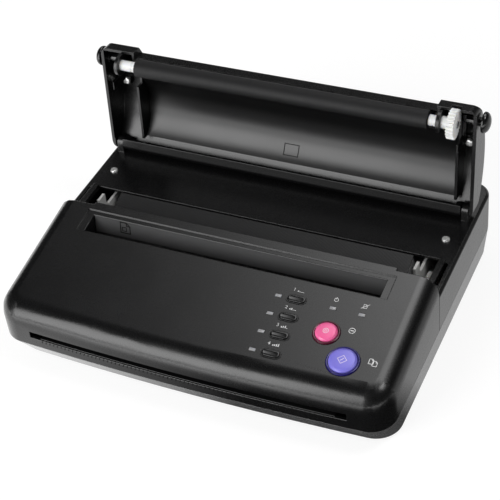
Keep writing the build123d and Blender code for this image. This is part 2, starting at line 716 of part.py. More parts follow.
def make_key_switches():
    """One small push switch under each key."""
    places = pill_places() + [(x, place) for x, place, _ in round_places()]
    middle = -SWITCH_BOARD_DROP + SWITCH_HEIGHT / 2
    return [panel_frame(x, place) * Pos(0, 0, middle) * Box(SWITCH_SIDE, SWITCH_SIDE, SWITCH_HEIGHT)
            for x, place in places]


def deck_block(inset):
    """The solid of the rear cover, or the space inside it."""
    column = extrude(Pos(0, 0, SEAM_Z) * outline(inset, 0, 0, 0), DECK_HEIGHT - inset - SEAM_Z)
    front = at(LIP_DEPTH) - LIP_STEP + COVER_JOINT - inset
    column &= block(-FAR, FAR, front, FAR, 0, FAR)
    if inset:
        return column
    rim = [edge for edge in column.faces().sort_by(Axis.Z)[-1].edges() if edge.center().Y > front + 0.5]
    return chamfer(rim, DECK_EDGE_CHAMFER)


def knuckle_web():
    """A hinge knuckle standing on the deck, with its pin hole."""
    lug = rod(KNUCKLE_X, KNUCKLE_X + KNUCKLE_WIDTH, HINGE_Y, HINGE_Z, KNUCKLE_RADIUS)
    lug += block(KNUCKLE_X, KNUCKLE_X + KNUCKLE_WIDTH, HINGE_Y - KNUCKLE_RADIUS, HINGE_Y + KNUCKLE_RADIUS,
                 DECK_HEIGHT - WALL / 2, HINGE_Z)
    return lug


def make_rear_cover():
    """The deck with its roller bay, latch fins and hinge knuckles."""
    cover = deck_block(0) - deck_block(WALL)
    cover -= block(-BAY_HALF_WIDTH, BAY_HALF_WIDTH, -FAR, at(DECK_FRONT), SEAM_Z, FAR)
    fin_end = BAY_HALF_WIDTH + FIN_WIDTH
    fin = block(BAY_HALF_WIDTH, fin_end, at(FIN_SLOT_FRONT), at(DECK_FRONT),
                DECK_HEIGHT - WALL, DECK_HEIGHT + FIN_RISE)
    slot = block(fin_end, fin_end + FIN_SLOT_WIDTH, at(FIN_SLOT_FRONT),
                 at(FIN_SLOT_FRONT) + FIN_SLOT_LENGTH, DECK_HEIGHT - WALL - 1, DECK_HEIGHT + 1)
    cover += both_sides(fin + knuckle_web())
    cover -= both_sides(slot)
    cover -= rod(-FAR, FAR, HINGE_Y, HINGE_Z, PIN_RADIUS + PIN_RUNNING)
    rib_top = open_tail_height() - STOP_RIB_GAP
    rib = block(COVER_HALF_WIDTH - STOP_RIB_INSETS[0], COVER_HALF_WIDTH - STOP_RIB_INSETS[1],
                HINGE_Y, HINGE_Y + STOP_RIB_DEPTH, DECK_HEIGHT - WALL / 2, rib_top)
    cover += both_sides(rib + deck_screw_post())
    cover -= both_sides(prism(DECK_SCREW_X, at(DECK_SCREW_PLACE), 0, FAR, SCREW_SHANK_RADIUS))
    z = REAR_FITTING_HEIGHT
    cover -= block(INLET_X - INLET_WIDTH / 2, INLET_X + INLET_WIDTH / 2, REAR_Y - WALL - 1, FAR,
                   z - INLET_HEIGHT / 2, z + INLET_HEIGHT / 2)
    return cover - block(SWITCH_X - ROCKER_WIDTH / 2, SWITCH_X + ROCKER_WIDTH / 2, REAR_Y - WALL - 1, FAR,
                         z - ROCKER_HEIGHT / 2, z + ROCKER_HEIGHT / 2)


def deck_screw_post():
    """The post under the deck that a deck screw bites into."""
    return square_post(DECK_SCREW_X, at(DECK_SCREW_PLACE), FLOOR_TOP, DECK_HEIGHT - WALL / 2, DECK_POST_WIDTH)


def pan_screw(x, y, seat, up):
    """A pan-head screw whose head sits on a seat height, pointing down, or up when set under."""
    away = -1 if up else 1
    head = prism(x, y, *sorted((seat, seat + away * SCREW_HEAD_HEIGHT)), SCREW_HEAD_RADIUS, HEAD_SIDES)
    return head + prism(x, y, *sorted((seat, seat - away * SCREW_LENGTH)), SCREW_SHANK_RADIUS)


def make_deck_screws():
    """The two bright screws in the deck."""
    return [pan_screw(side * DECK_SCREW_X, at(DECK_SCREW_PLACE), DECK_HEIGHT, False) for side in (-1, 1)]


def make_case_screws():
    """The screws that close the casing from below."""
    return [pan_screw(x, y, FOOT_PROUD, True) for x, y in screw_places()]


# --- cover pieces -------------------------------------------------------------------------------------------


def crown_radius(front_rise, top_rise):
    """The radius of the crown's arc over half the cover's length."""
    half = (EAR_REACH + CHEEK_DROP) / 2
    sag = top_rise - front_rise
    return (half ** 2 + sag ** 2) / (2 * sag)


def crown_rise_at(reach, inset):
    """The rise of the crown's outer face, or one inset below it, at a reach."""
    radius = crown_radius(CROWN_FRONT_RISE, CROWN_RISE)
    return CROWN_RISE - radius + sqrt((radius - inset) ** 2 - (reach - CROWN_TOP_REACH) ** 2)


def crown_arc(reach0, reach1, inset):
    """The crown's arc between two reaches."""
    middle = (reach0 + reach1) / 2
    points = [cover_yz(reach, crown_rise_at(reach, inset)) for reach in (reach0, middle, reach1)]
    return ThreePointArc(*points)


def open_tail_height():
    """The lowest height of the cover's tail when it is open."""
    lean = radians(LEAN_BACK)
    return HINGE_Z - CHEEK_DROP * cos(lean) - crown_rise_at(-CHEEK_DROP, 0) * sin(lean)


def cover_profile():
    """The closed cover's outer section, with a round knuckle end about the hinge axis."""
    tail = -CHEEK_DROP
    drop = -CHEEK_DROP
    knee = CHEEK_DROP / sqrt(2)
    past = EAR_REACH + 1  # the plan cuts the front off, corners and all
    return yz_face(
        crown_arc(past, tail, 0),
        Line(cover_yz(tail, crown_rise_at(tail, 0)), cover_yz(tail, 0)),
        ThreePointArc(cover_yz(tail, 0), cover_yz(-knee, -knee), cover_yz(0, drop)),
        Line(cover_yz(0, drop), cover_yz(past, drop)),
        Line(cover_yz(past, drop), cover_yz(past, crown_rise_at(past, 0))),
    )


def cover_cavity_profile():
    """The section of the space under the crown."""
    tail = -CHEEK_DROP + COVER_WALL
    low = -CHEEK_DROP - 20
    past = EAR_REACH - COVER_WALL
    return yz_face(
        crown_arc(past, tail, COVER_WALL),
        Line(cover_yz(tail, crown_rise_at(tail, COVER_WALL)), cover_yz(tail, 0)),
        ThreePointArc(cover_yz(tail, 0), cover_yz(tail / sqrt(2), tail / sqrt(2)), cover_yz(0, tail)),
        Line(cover_yz(0, tail), cover_yz(CHEEK_DROP, tail)),
        Line(cover_yz(CHEEK_DROP, tail), cover_yz(CHEEK_DROP, low)),
        Line(cover_yz(CHEEK_DROP, low), cover_yz(past, low)),
        Line(cover_yz(past, low), cover_yz(past, crown_rise_at(past, COVER_WALL))),
    )


def cover_plan():
    """The closed cover's plan: round tail corners, and an ear past the rim at each side."""
    front = HINGE_Y - EAR_REACH
    rear = HINGE_Y + CHEEK_DROP
    plan = Pos(0, (front + rear) / 2) * Rectangle(2 * COVER_HALF_WIDTH, rear - front)
    rounded = fillet(plan.vertices().sort_by(Axis.Y)[:2], EAR_CORNER)
    rounded = fillet(rounded.vertices().sort_by(Axis.Y)[-2:], TAIL_CORNER)
    rim_cut = Pos(0, HINGE_Y - RIM_REACH - 10) * Rectangle(2 * EAR_INNER_X, 20)
    return rounded - rim_cut


def cover_hollow():
    """The space under the crown, less the walls, ribs and bosses that are left standing in it."""
    inner_x = COVER_HALF_WIDTH - CHEEK_WALL
    wall_x = EAR_INNER_X + EAR_WALL
    rim_inside = RIM_REACH - RIM_WALL
    hollow = slab(cover_cavity_profile(), -inner_x, inner_x)
    hollow -= yz_box(-wall_x, wall_x, rim_inside, EAR_REACH + 1, RIM_DROP, CROWN_RISE)
    hollow -= both_sides(yz_box(EAR_INNER_X - 1, wall_x, rim_inside, EAR_REACH + 1, -30, CROWN_RISE))
    hollow -= both_sides(cover_rod(KNUCKLE_X - HINGE_BOSS_LENGTH, KNUCKLE_X, 0, 0, HINGE_BOSS_RADIUS))
    return hollow - both_sides(tab_screw_post())


def make_cover_shell():
    """The domed cover with its cheeks, ears, hollow tail and hinge bosses, closed."""
    column = extrude(Pos(0, 0, HINGE_Z - FAR) * cover_plan(), 2 * FAR)
    shell = column & slab(cover_profile(), -COVER_HALF_WIDTH, COVER_HALF_WIDTH)
    shell -= cover_hollow()
    slot_reach = KNUCKLE_RADIUS + KNUCKLE_CLEARANCE
    knuckle_slot = yz_box(KNUCKLE_X - KNUCKLE_GAP, KNUCKLE_X + KNUCKLE_WIDTH + KNUCKLE_GAP, -CHEEK_DROP - 1,
                          slot_reach, -CHEEK_DROP - 1, slot_reach)
    gear_notch = yz_box(GEAR_X - EAR_GEAR_GAP, GEAR_X + GEAR_WIDTH + EAR_GEAR_GAP, EAR_REACH - COVER_WALL - 1,
                        EAR_REACH + 1, -CHEEK_DROP - 1, GEAR_NOTCH_RISE)
    button_hole = bar(COVER_HALF_WIDTH - CHEEK_WALL - 1, COVER_HALF_WIDTH + 1, HINGE_Y - RELEASE_REACH,
                      HINGE_Z + RELEASE_RISE, RELEASE_STEM_RADIUS + RELEASE_GAP, HEAD_SIDES)
    shell -= both_sides(knuckle_slot) + gear_notch
    shell -= both_sides(cover_rod(*pin_span(), 0, 0, PIN_RADIUS))
    shell -= both_sides(button_hole)
    return shell - both_sides(tab_screw_hole())


def tab_screw_seat():
    """The height that the bracket screws' heads meet inside the crown."""
    return HINGE_Z + crown_rise_at(TAB_SCREW_REACH, COVER_WALL) + TAB_POST_SINK - TAB_POST_HEIGHT


def tab_screw_post():
    """The post inside the crown that a bracket screw bites into."""
    seat = tab_screw_seat()
    return square_post(TAB_SCREW_X, HINGE_Y - TAB_SCREW_REACH, seat, seat + TAB_POST_HEIGHT, TAB_POST_WIDTH)


def tab_screw_hole():
    """The hole up that post."""
    seat = tab_screw_seat()
    return prism(TAB_SCREW_X, HINGE_Y - TAB_SCREW_REACH, seat - 1, seat + TAB_SCREW_LENGTH, SCREW_SHANK_RADIUS)


def make_cover_screws():
    """The small bright screws inside the cover's cheeks."""
    seat, y = tab_screw_seat(), HINGE_Y - TAB_SCREW_REACH
    head = prism(TAB_SCREW_X, y, seat - SCREW_HEAD_HEIGHT, seat, SCREW_HEAD_RADIUS, HEAD_SIDES)
    screw = head + prism(TAB_SCREW_X, y, seat, seat + TAB_SCREW_LENGTH, SCREW_SHANK_RADIUS)
    return [screw, mirror(screw, about=Plane.YZ)]


def make_inner_sheet():
    """The concave sheet that lines the cover between its two end walls."""

    def on_arc(reach, radius):
        rise = SHEET_CENTRE_RISE + sqrt(radius ** 2 - (reach - SHEET_CENTRE_REACH) ** 2)
        return cover_yz(reach, rise)

    outer = SHEET_RADIUS + SHEET_THICKNESS
    start, end = SHEET_START_REACH, SHEET_END_REACH
    middle = SHEET_CENTRE_REACH
    face = yz_face(
        ThreePointArc(on_arc(start, SHEET_RADIUS), on_arc(middle, SHEET_RADIUS), on_arc(end, SHEET_RADIUS)),
        Line(on_arc(end, SHEET_RADIUS), on_arc(end, outer)),
        ThreePointArc(on_arc(end, outer), on_arc(middle, outer), on_arc(start, outer)),
        Line(on_arc(start, outer), on_arc(start, SHEET_RADIUS)),
    )
    return slab(face, LEFT_WALL_X + 0.1, RIGHT_WALL_X - 0.1)


def bracket_profile():
    """The section of an end wall, up to the underside of the crown."""
    low, high = CHEEK_DROP + 0.5, BRACKET_REACH
    return yz_face(
        crown_arc(high, low, COVER_WALL),
        Line(cover_yz(low, crown_rise_at(low, COVER_WALL)), cover_yz(low, 0)),
        Line(cover_yz(low, 0), cover_yz(high, 0)),
        Line(cover_yz(high, 0), cover_yz(high, crown_rise_at(high, COVER_WALL))),
    )


def arm_profile():
    """The section of a roller arm, from the crown down around the platen's axis."""
    front = PLATEN_REACH + ARM_END_RADIUS
    rear = PLATEN_REACH - ARM_END_RADIUS
    top_front = EAR_REACH - COVER_WALL - 0.3
    shoulder = -CHEEK_DROP - 0.4
    return yz_face(
        crown_arc(top_front, rear, COVER_WALL),
        Line(cover_yz(rear, crown_rise_at(rear, COVER_WALL)), cover_yz(rear, PLATEN_RISE)),
        ThreePointArc(cover_yz(rear, PLATEN_RISE), cover_yz(PLATEN_REACH, PLATEN_RISE - ARM_END_RADIUS),
                      cover_yz(front, PLATEN_RISE)),
        Line(cover_yz(front, PLATEN_RISE), cover_yz(front, shoulder - 1)),
        Line(cover_yz(front, shoulder - 1), cover_yz(top_front, shoulder)),
        Line(cover_yz(top_front, shoulder), cover_yz(top_front, crown_rise_at(top_front, COVER_WALL))),
    )


def make_roller_bracket(wall_x, arm_x, side):
    """An end wall and the roller arm beside it, joined by a web, closed."""
    wall = slab(bracket_profile(), *sorted((wall_x, wall_x + side * BRACKET_PLATE)))
    arm = slab(arm_profile(), *sorted((arm_x, arm_x + side * ARM_PLATE)))
    ends = (wall_x, wall_x + side * BRACKET_PLATE, arm_x, arm_x + side * ARM_PLATE)
    web_top = crown_rise_at(BRACKET_REACH, COVER_WALL) - 2
    web = yz_box(min(ends), max(ends), BRACKET_REACH - BRACKET_PLATE, PLATEN_REACH - ARM_END_RADIUS + 1,
                 HOOK_BAR_HIGH + 0.6, web_top)
    notch = yz_box(-FAR, FAR, HOOK_REAR_REACH - 2, BRACKET_REACH, -1, HOOK_BAR_HIGH + 0.6)
    bracket = (wall - notch) + web + arm
    return bracket - bar(-FAR, FAR, *PLATEN_CENTRE, BUSH_RADIUS, HEAD_SIDES)


def make_bushes():
    """The white bushes that the platen's shaft turns in."""
    ends = [(LEFT_ARM_X - ARM_PLATE, -BUSH_START_X), (BUSH_START_X, RIGHT_ARM_X + ARM_PLATE)]
    bore = cover_rod(-FAR, FAR, PLATEN_REACH, PLATEN_RISE, PLATEN_SHAFT_RADIUS + RUNNING_GAP)
    return [bar(x0, x1, *PLATEN_CENTRE, BUSH_RADIUS, HEAD_SIDES) - bore for x0, x1 in ends]


def make_platen_roller():
    """The black rubber of the platen roller."""
    rubber = cover_rod(-PLATEN_HALF_LENGTH, PLATEN_HALF_LENGTH, PLATEN_REACH, PLATEN_RISE, PLATEN_RADIUS)
    return rubber - cover_rod(-FAR, FAR, PLATEN_REACH, PLATEN_RISE, PLATEN_SHAFT_RADIUS)


def make_platen_shaft():
    """The steel shaft through the platen, its bushes and its gear."""
    return cover_rod(LEFT_ARM_X - ARM_PLATE - 0.8, GEAR_X + GEAR_WIDTH + 0.8, PLATEN_REACH, PLATEN_RISE,
                     PLATEN_SHAFT_RADIUS)


def pin_span():
    """Where a hinge pin starts and ends along X: in its boss, and at the cheek."""
    return (KNUCKLE_X - HINGE_BOSS_LENGTH, COVER_HALF_WIDTH - CHEEK_WALL)


def make_hinge_pins():
    """The two steel pins that the cover turns on."""
    pin = cover_rod(*pin_span(), 0, 0, PIN_RADIUS)
    return [pin, mirror(pin, about=Plane.YZ)]


def dome(x):
    """A push button's round head, standing out from the right cheek."""
    radius, skirt = RELEASE_DOME_RADIUS, RELEASE_DOME_SKIRT
    head = turned((0, radius), *swelling(radius, skirt, RELEASE_DOME_RISE - skirt))
    return Pos(x, HINGE_Y - RELEASE_REACH, HINGE_Z + RELEASE_RISE) * Rot(0, 90, 0) * head


def make_release_button(side):
    """A cover release button: domed head, stem and the collar that keeps it in, closed."""
    outer = COVER_HALF_WIDTH + RELEASE_TRAVEL + RELEASE_GAP
    collar_x = COVER_HALF_WIDTH - CHEEK_WALL - RELEASE_GAP
    y, z = HINGE_Y - RELEASE_REACH, HINGE_Z + RELEASE_RISE
    stem = bar(HOOK_OUTER_X + HOOK_BAR_SIDE, outer, y, z, RELEASE_STEM_RADIUS, HEAD_SIDES)
    collar = bar(collar_x - RELEASE_COLLAR_WIDTH, collar_x, y, z, RELEASE_COLLAR_RADIUS, HEAD_SIDES)
    button = dome(outer) + stem + collar
    return button if side > 0 else mirror(button, about=Plane.YZ)


def make_latch_hook(side):
    """The latch hook that a release button carries, closed."""
    inner = HOOK_OUTER_X - HOOK_THICKNESS
    beam = yz_box(inner, HOOK_OUTER_X + HOOK_BAR_SIDE, HOOK_REAR_REACH, RELEASE_REACH + 3.4,
                  HOOK_BAR_LOW, HOOK_BAR_HIGH)
    blade = yz_box(inner, HOOK_OUTER_X, HOOK_REAR_REACH, HOOK_FRONT_REACH, -HOOK_DROP + HOOK_NOSE,
                   HOOK_BAR_LOW + 1)
    z0 = HINGE_Z - HOOK_DROP
    tip = Polyline((inner, 0, z0 + HOOK_NOSE), (inner, 0, z0), (inner + HOOK_THICKNESS / 3, 0, z0),
                   (HOOK_OUTER_X, 0, z0 + HOOK_NOSE), close=True)
    length = HOOK_FRONT_REACH - HOOK_REAR_REACH
    nose = extrude(Pos(0, HINGE_Y - HOOK_FRONT_REACH, 0) * make_face(tip), length, dir=(0, 1, 0))
    hook = beam + blade + nose
    return hook if side > 0 else mirror(hook, about=Plane.YZ)


# --- gears ----------------------------------------------------------------------------------------------------


def gear_face(teeth, phase):
    """A spur gear's outline about the origin, with the middle of one tooth at angle phase."""
    pitch = MODULE * teeth / 2
    base = pitch * cos(radians(PRESSURE_ANGLE))
    tip = pitch + ADDENDUM * MODULE
    root = pitch - DEDENDUM * MODULE

    def half_angle(radius):
        """Half a tooth's angle at a radius, on an involute flank."""
        roll = [tan(alpha) - alpha for alpha in (acos(base / pitch), acos(min(1, base / radius)))]
        return pi / (2 * teeth) - BACKLASH / (4 * pitch) + roll[0] - roll[1]

    flank = [(root, half_angle(max(base, root))), (tip, half_angle(tip))]
    points = []
    for tooth in range(teeth):
        middle = phase + 2 * pi * tooth / teeth
        corners = [(radius, middle - half) for radius, half in flank]
        corners += [(radius, middle + half) for radius, half in reversed(flank)]
        points += [(radius * cos(angle), radius * sin(angle)) for radius, angle in corners]
    return make_face(Polyline(*points, close=True))


def place_gear(teeth, phase, y, z, bore):
    """A gear disc standing in the Y-Z plane at the gear train's X."""
    flat = extrude(gear_face(teeth, phase) - Circle(bore), GEAR_WIDTH)
    plane = Plane(origin=(GEAR_X, y, z), x_dir=(0, 1, 0), z_dir=(1, 0, 0))
    return plane.location * flat


def meshed_phase(teeth, phase, other_teeth, angle):
    """The phase of a gear that meshes, in the direction angle, with one of a known phase."""
    pitch_angle = 2 * pi / teeth
    other_pitch = 2 * pi / other_teeth
    offset = ((angle - phase) / pitch_angle) % 1
    return angle + pi - other_pitch * (0.5 - offset)


def pitch_radius(teeth):
    return MODULE * teeth / 2


def gear_distance(teeth, other_teeth):
    return pitch_radius(teeth) + pitch_radius(other_teeth) + CENTRE_EXTRA


def ahead(centre, distance, angle):
    """A centre at a distance and an angle in degrees from another, in Y and Z."""
    return (centre[0] + distance * cos(radians(angle)), centre[1] + distance * sin(radians(angle)))


def lower_meeting(a, reach_a, b, reach_b):
    """The lower of the two points at given distances from two centres."""
    span = hypot(b[0] - a[0], b[1] - a[1])
    along = (reach_a ** 2 - reach_b ** 2 + span ** 2) / (2 * span)
    aside = sqrt(reach_a ** 2 - along ** 2)
    ey, ez = (b[0] - a[0]) / span, (b[1] - a[1]) / span
    return (a[0] + along * ey + aside * ez, a[1] + along * ez - aside * ey)


def heading(a, b):
    return atan2(b[1] - a[1], b[0] - a[0])


PLATEN_CENTRE = (PLATEN_Y, PLATEN_Z)
DRIVE_CENTRE = (PLATEN_Y, PLATEN_Z - 2 * pitch_radius(SMALL_TEETH) - LID_MESH_EXTRA)
FEED_CENTRE = (FEED_Y, FEED_Z)
REAR_IDLER_CENTRE = ahead(DRIVE_CENTRE, gear_distance(SMALL_TEETH, SMALL_TEETH), REAR_IDLER_ANGLE)
PINION_CENTRE = ahead(REAR_IDLER_CENTRE, gear_distance(SMALL_TEETH, PINION_TEETH), PINION_ANGLE)
LARGE_IDLER_CENTRE = ahead(FEED_CENTRE, gear_distance(FEED_TEETH, LARGE_TEETH), LARGE_IDLER_ANGLE)
FRONT_IDLER_CENTRE = lower_meeting(LARGE_IDLER_CENTRE, gear_distance(LARGE_TEETH, SMALL_TEETH),
                                   DRIVE_CENTRE, gear_distance(SMALL_TEETH, SMALL_TEETH))


def gear_phases():
    """The phase of every gear, passed along the train from the feed gear to the platen."""
    feed = 0.0
    large = meshed_phase(FEED_TEETH, feed, LARGE_TEETH, heading(FEED_CENTRE, LARGE_IDLER_CENTRE))
    front = meshed_phase(LARGE_TEETH, large, SMALL_TEETH, heading(LARGE_IDLER_CENTRE, FRONT_IDLER_CENTRE))
    drive = meshed_phase(SMALL_TEETH, front, SMALL_TEETH, heading(FRONT_IDLER_CENTRE, DRIVE_CENTRE))
    rear = meshed_phase(SMALL_TEETH, drive, SMALL_TEETH, heading(DRIVE_CENTRE, REAR_IDLER_CENTRE))
    pinion = meshed_phase(SMALL_TEETH, rear, PINION_TEETH, heading(REAR_IDLER_CENTRE, PINION_CENTRE))
    platen = meshed_phase(SMALL_TEETH, drive, SMALL_TEETH, heading(DRIVE_CENTRE, PLATEN_CENTRE))
    return dict(feed=feed, large=large, front=front, drive=drive, rear=rear, pinion=pinion, platen=platen)


def make_platen_gear(phase):
    """The white gear on the platen's shaft with its hub, closed."""
    gear = place_gear(SMALL_TEETH, phase, *PLATEN_CENTRE, PLATEN_SHAFT_RADIUS)
    hub = bar(RIGHT_ARM_X + ARM_PLATE + 0.4, GEAR_X, *PLATEN_CENTRE, HUB_RADIUS, ROUND_SIDES)
    return gear + (hub - rod(0, FAR, *PLATEN_CENTRE, PLATEN_SHAFT_RADIUS))


def stud_centres():
    return [DRIVE_CENTRE, REAR_IDLER_CENTRE, LARGE_IDLER_CENTRE, FRONT_IDLER_CENTRE]


def make_gear_studs():
    """The fixed studs that the idler gears turn on, each with a shoulder and a head."""
    studs = []
    seat, end = FRAME_X + FRAME_THICKNESS, GEAR_X + GEAR_WIDTH
    for y, z in stud_centres():
        shoulder = bar(seat, GEAR_X - STUD_GAP, y, z, STUD_HEAD_RADIUS)
        journal = bar(seat, end + STUD_GAP, y, z, STUD_RADIUS, HEAD_SIDES)
        head = bar(end + STUD_GAP, end + STUD_GAP + STUD_HEAD_THICKNESS, y, z, STUD_HEAD_RADIUS)
        studs.append(shoulder + journal + head)
    return studs


# --- frames, thermal head, scanner, feed --------------------------------------------------------------------------


def frame_outline():
    """A side frame's section: a plate with a roller seat between two tabs."""
    seat = HUB_RADIUS + SEAT_GAP
    return yz_face(Polyline(
        yz(at(FRAME_FRONT), FLOOR_TOP), yz(at(FRAME_REAR), FLOOR_TOP),
        yz(at(FRAME_REAR), FRAME_TOP - FRAME_CORNER), yz(at(FRAME_REAR) - FRAME_CORNER, FRAME_TOP),
        yz(at(TAB_REAR) + 3, FRAME_TOP), yz(at(TAB_REAR), FRAME_TOP + 3), yz(at(TAB_REAR), TAB_TOP),
        yz(PLATEN_Y + seat, TAB_TOP), yz(PLATEN_Y + seat, PLATEN_Z), yz(PLATEN_Y - seat, PLATEN_Z),
        yz(PLATEN_Y - seat, FRONT_TAB_TOP), yz(at(FRONT_TAB_FRONT), FRONT_TAB_TOP),
        yz(at(FRONT_TAB_FRONT), FRAME_TOP),
        yz(at(FRAME_FRONT) + FRAME_CORNER, FRAME_TOP), yz(at(FRAME_FRONT), FRAME_TOP - FRAME_CORNER), close=True))


def make_side_frame(side):
    """A side frame that carries the thermal head, the feed roller and the gear studs."""
    plate = slab(frame_outline(), FRAME_X, FRAME_X + FRAME_THICKNESS)
    plate -= bar(0, FAR, *PLATEN_CENTRE, HUB_RADIUS + SEAT_GAP, ROUND_SIDES)
    plate -= rod(0, FAR, FEED_Y, FEED_Z, FEED_SHAFT_RADIUS + RUNNING_GAP)
    flange = block(FRAME_X - FLANGE_WIDTH, FRAME_X, at(FRAME_FRONT) + 12, at(FRAME_REAR) - 12,
                   FLOOR_TOP, FLOOR_TOP + 1.5)
    if side > 0:
        plate -= bar(0, FAR, *PINION_CENTRE, pitch_radius(PINION_TEETH) + PINION_HOLE_GAP)
        return plate + flange
    return mirror(plate + flange, about=Plane.YZ)


def head_frame():
    """The place on the thermal head's face where the platen presses, with X across the machine."""
    slope = radians(HEAD_SLOPE)
    reach = PLATEN_RADIUS + NIP_GAP
    origin = (0, PLATEN_Y + reach * sin(slope), PLATEN_Z - reach * cos(slope))
    return Plane(origin=origin, x_dir=(1, 0, 0), z_dir=(0, -sin(slope), cos(slope))).location


def head_slab(half, y0, y1, z0, z1):
    """A plate in the thermal head's own frame."""
    size = (2 * half, y1 - y0, z1 - z0)
    return head_frame() * Pos(0, (y0 + y1) / 2, (z0 + z1) / 2) * Box(*size)


def make_thermal_head():
    """The flat ceramic board of the thermal head."""
    return head_slab(HEAD_HALF_WIDTH, -HEAD_AHEAD, HEAD_BEHIND, -HEAD_BOARD_THICKNESS, 0)


def make_heat_sink():
    """The ribbed aluminium bar under the thermal head."""
    top = -HEAD_BOARD_THICKNESS
    bottom = top - SINK_THICKNESS
    bar = head_slab(HEAD_HALF_WIDTH, -HEAD_AHEAD + 1, HEAD_BEHIND - 1, bottom, top)
    length = HEAD_AHEAD + HEAD_BEHIND - 2
    pitch = length / (2 * SINK_FIN_COUNT - 1)
    for fin in range(SINK_FIN_COUNT - 1):
        start = -HEAD_AHEAD + 1 + pitch * (2 * fin + 1)
        bar -= head_slab(HEAD_HALF_WIDTH + 1, start, start + pitch, bottom - 1, bottom + SINK_FIN_DEPTH)
    return bar


def make_head_bracket():
    """The folded steel channel that the thermal head's springs stand on."""
    x = FRAME_X
    front, rear = at(HEAD_BRACKET_FRONT), at(HEAD_BRACKET_REAR)
    base = block(-x, x, front, rear, BRACKET_BASE, BRACKET_BASE + BRACKET_THICKNESS)
    top = BRACKET_BASE + HEAD_BRACKET_FLANGE
    front_flange = block(-x, x, front, front + 1.5, BRACKET_BASE, top)
    rear_flange = block(-x, x, rear - 1.5, rear, BRACKET_BASE, top + 2)
    return base + front_flange + rear_flange


def make_head_springs():
    """The springs that press the thermal head up, as plain closed coils."""
    y = at(SPRING_PLACE)
    bottom = BRACKET_BASE + BRACKET_THICKNESS
    slope = radians(HEAD_SLOPE)
    reach = PLATEN_RADIUS + NIP_GAP
    head_y = PLATEN_Y + reach * sin(slope)
    head_z = PLATEN_Z - reach * cos(slope)
    face = head_z + (y - SPRING_RADIUS - head_y) * tan(slope)
    top = face - (HEAD_BOARD_THICKNESS + SINK_THICKNESS + 0.3) / cos(slope)
    return [prism(x, y, bottom, top, SPRING_RADIUS, HEAD_SIDES) for x in SPRING_XS]


def make_feed_roller():
    """The rubber roller that moves the original over the scanner."""
    rubber = rod(-FEED_ROLLER_HALF_LENGTH, FEED_ROLLER_HALF_LENGTH, FEED_Y, FEED_Z, FEED_ROLLER_RADIUS)
    return rubber - rod(-FAR, FAR, FEED_Y, FEED_Z, FEED_SHAFT_RADIUS)


def make_feed_shaft():
    """The feed roller's steel shaft, through both side frames to its gear."""
    return rod(-FRAME_X - FRAME_THICKNESS - 2, GEAR_X + GEAR_WIDTH + 0.8, FEED_Y, FEED_Z, FEED_SHAFT_RADIUS)


def scanner_window():
    """The space that the scanner bar stands in."""
    half, end = SCANNER_WIDTH / 2 + SCANNER_GAP, SCANNER_HALF_LENGTH + SCANNER_GAP
    return block(-end, end, FEED_Y - half, FEED_Y + half, 0, FAR)


def make_feed_chute():
    """The guide that turns the original from the throat to the exit slot."""
    low = CHUTE_TOP - CHUTE_THICKNESS
    turn = CHUTE_TURN_RADIUS
    wall_y = at(THROAT_REAR) - THROAT_LEAN
    corner = (wall_y - turn, CHUTE_TOP + turn)
    share = sin(radians(45))
    front = at(CHUTE_NOSE_PLACE)
    face = yz_face(
        Line(yz(front, low), yz(corner[0], low)),
        ThreePointArc(yz(corner[0], low),
                      yz(corner[0] + (turn + CHUTE_THICKNESS) * share, corner[1] - (turn + CHUTE_THICKNESS) * share),
                      yz(wall_y + CHUTE_THICKNESS, corner[1])),
        Line(yz(wall_y + CHUTE_THICKNESS, corner[1]), yz(wall_y + CHUTE_THICKNESS, THROAT_FOOT_HEIGHT - 0.5)),
        Line(yz(wall_y + CHUTE_THICKNESS, THROAT_FOOT_HEIGHT - 0.5), yz(wall_y, THROAT_FOOT_HEIGHT - 0.5)),
        Line(yz(wall_y, THROAT_FOOT_HEIGHT - 0.5), yz(wall_y, corner[1])),
        ThreePointArc(yz(wall_y, corner[1]), yz(corner[0] + turn * share, corner[1] - turn * share),
                      yz(corner[0], CHUTE_TOP)),
        Line(yz(corner[0], CHUTE_TOP), yz(front, CHUTE_TOP)),
        Line(yz(front, CHUTE_TOP), yz(front, low)),
    )
    chute = slab(face, -CHUTE_HALF_WIDTH, CHUTE_HALF_WIDTH)
    nose = extrude(Pos(0, 0, CHUTE_TOP - CHUTE_NOSE_THICKNESS) * outline(CHUTE_NOSE_INSET, 0, 0, 0),
                   CHUTE_NOSE_THICKNESS)
    chute += nose & block(-CHUTE_NOSE_HALF_WIDTH, CHUTE_NOSE_HALF_WIDTH, -FAR, front, 0, FAR)
    return chute - scanner_window()


def make_scanner_bar():
    """The contact scanner's long housing, on two legs, with a seat for its glass."""
    half = SCANNER_WIDTH / 2
    top = CHUTE_TOP - 0.2
    bottom = top - SCANNER_HEIGHT
    housing = block(-SCANNER_HALF_LENGTH, SCANNER_HALF_LENGTH, FEED_Y - half, FEED_Y + half, bottom, top)
    leg = block(SCANNER_HALF_LENGTH - SCANNER_LEG_INSET - SCANNER_LEG_WIDTH, SCANNER_HALF_LENGTH - SCANNER_LEG_INSET,
                FEED_Y - half, FEED_Y + half, FLOOR_TOP, bottom)
    return housing - scanner_glass_block() + both_sides(leg)


def scanner_glass_block():
    half = SCANNER_GLASS_WIDTH / 2
    top = CHUTE_TOP - 0.2
    return block(-SCANNER_HALF_LENGTH + 2, SCANNER_HALF_LENGTH - 2, FEED_Y - half, FEED_Y + half,
                 top - SCANNER_GLASS_THICKNESS, top)


# --- motor, boards, rear fittings -----------------------------------------------------------------------------------


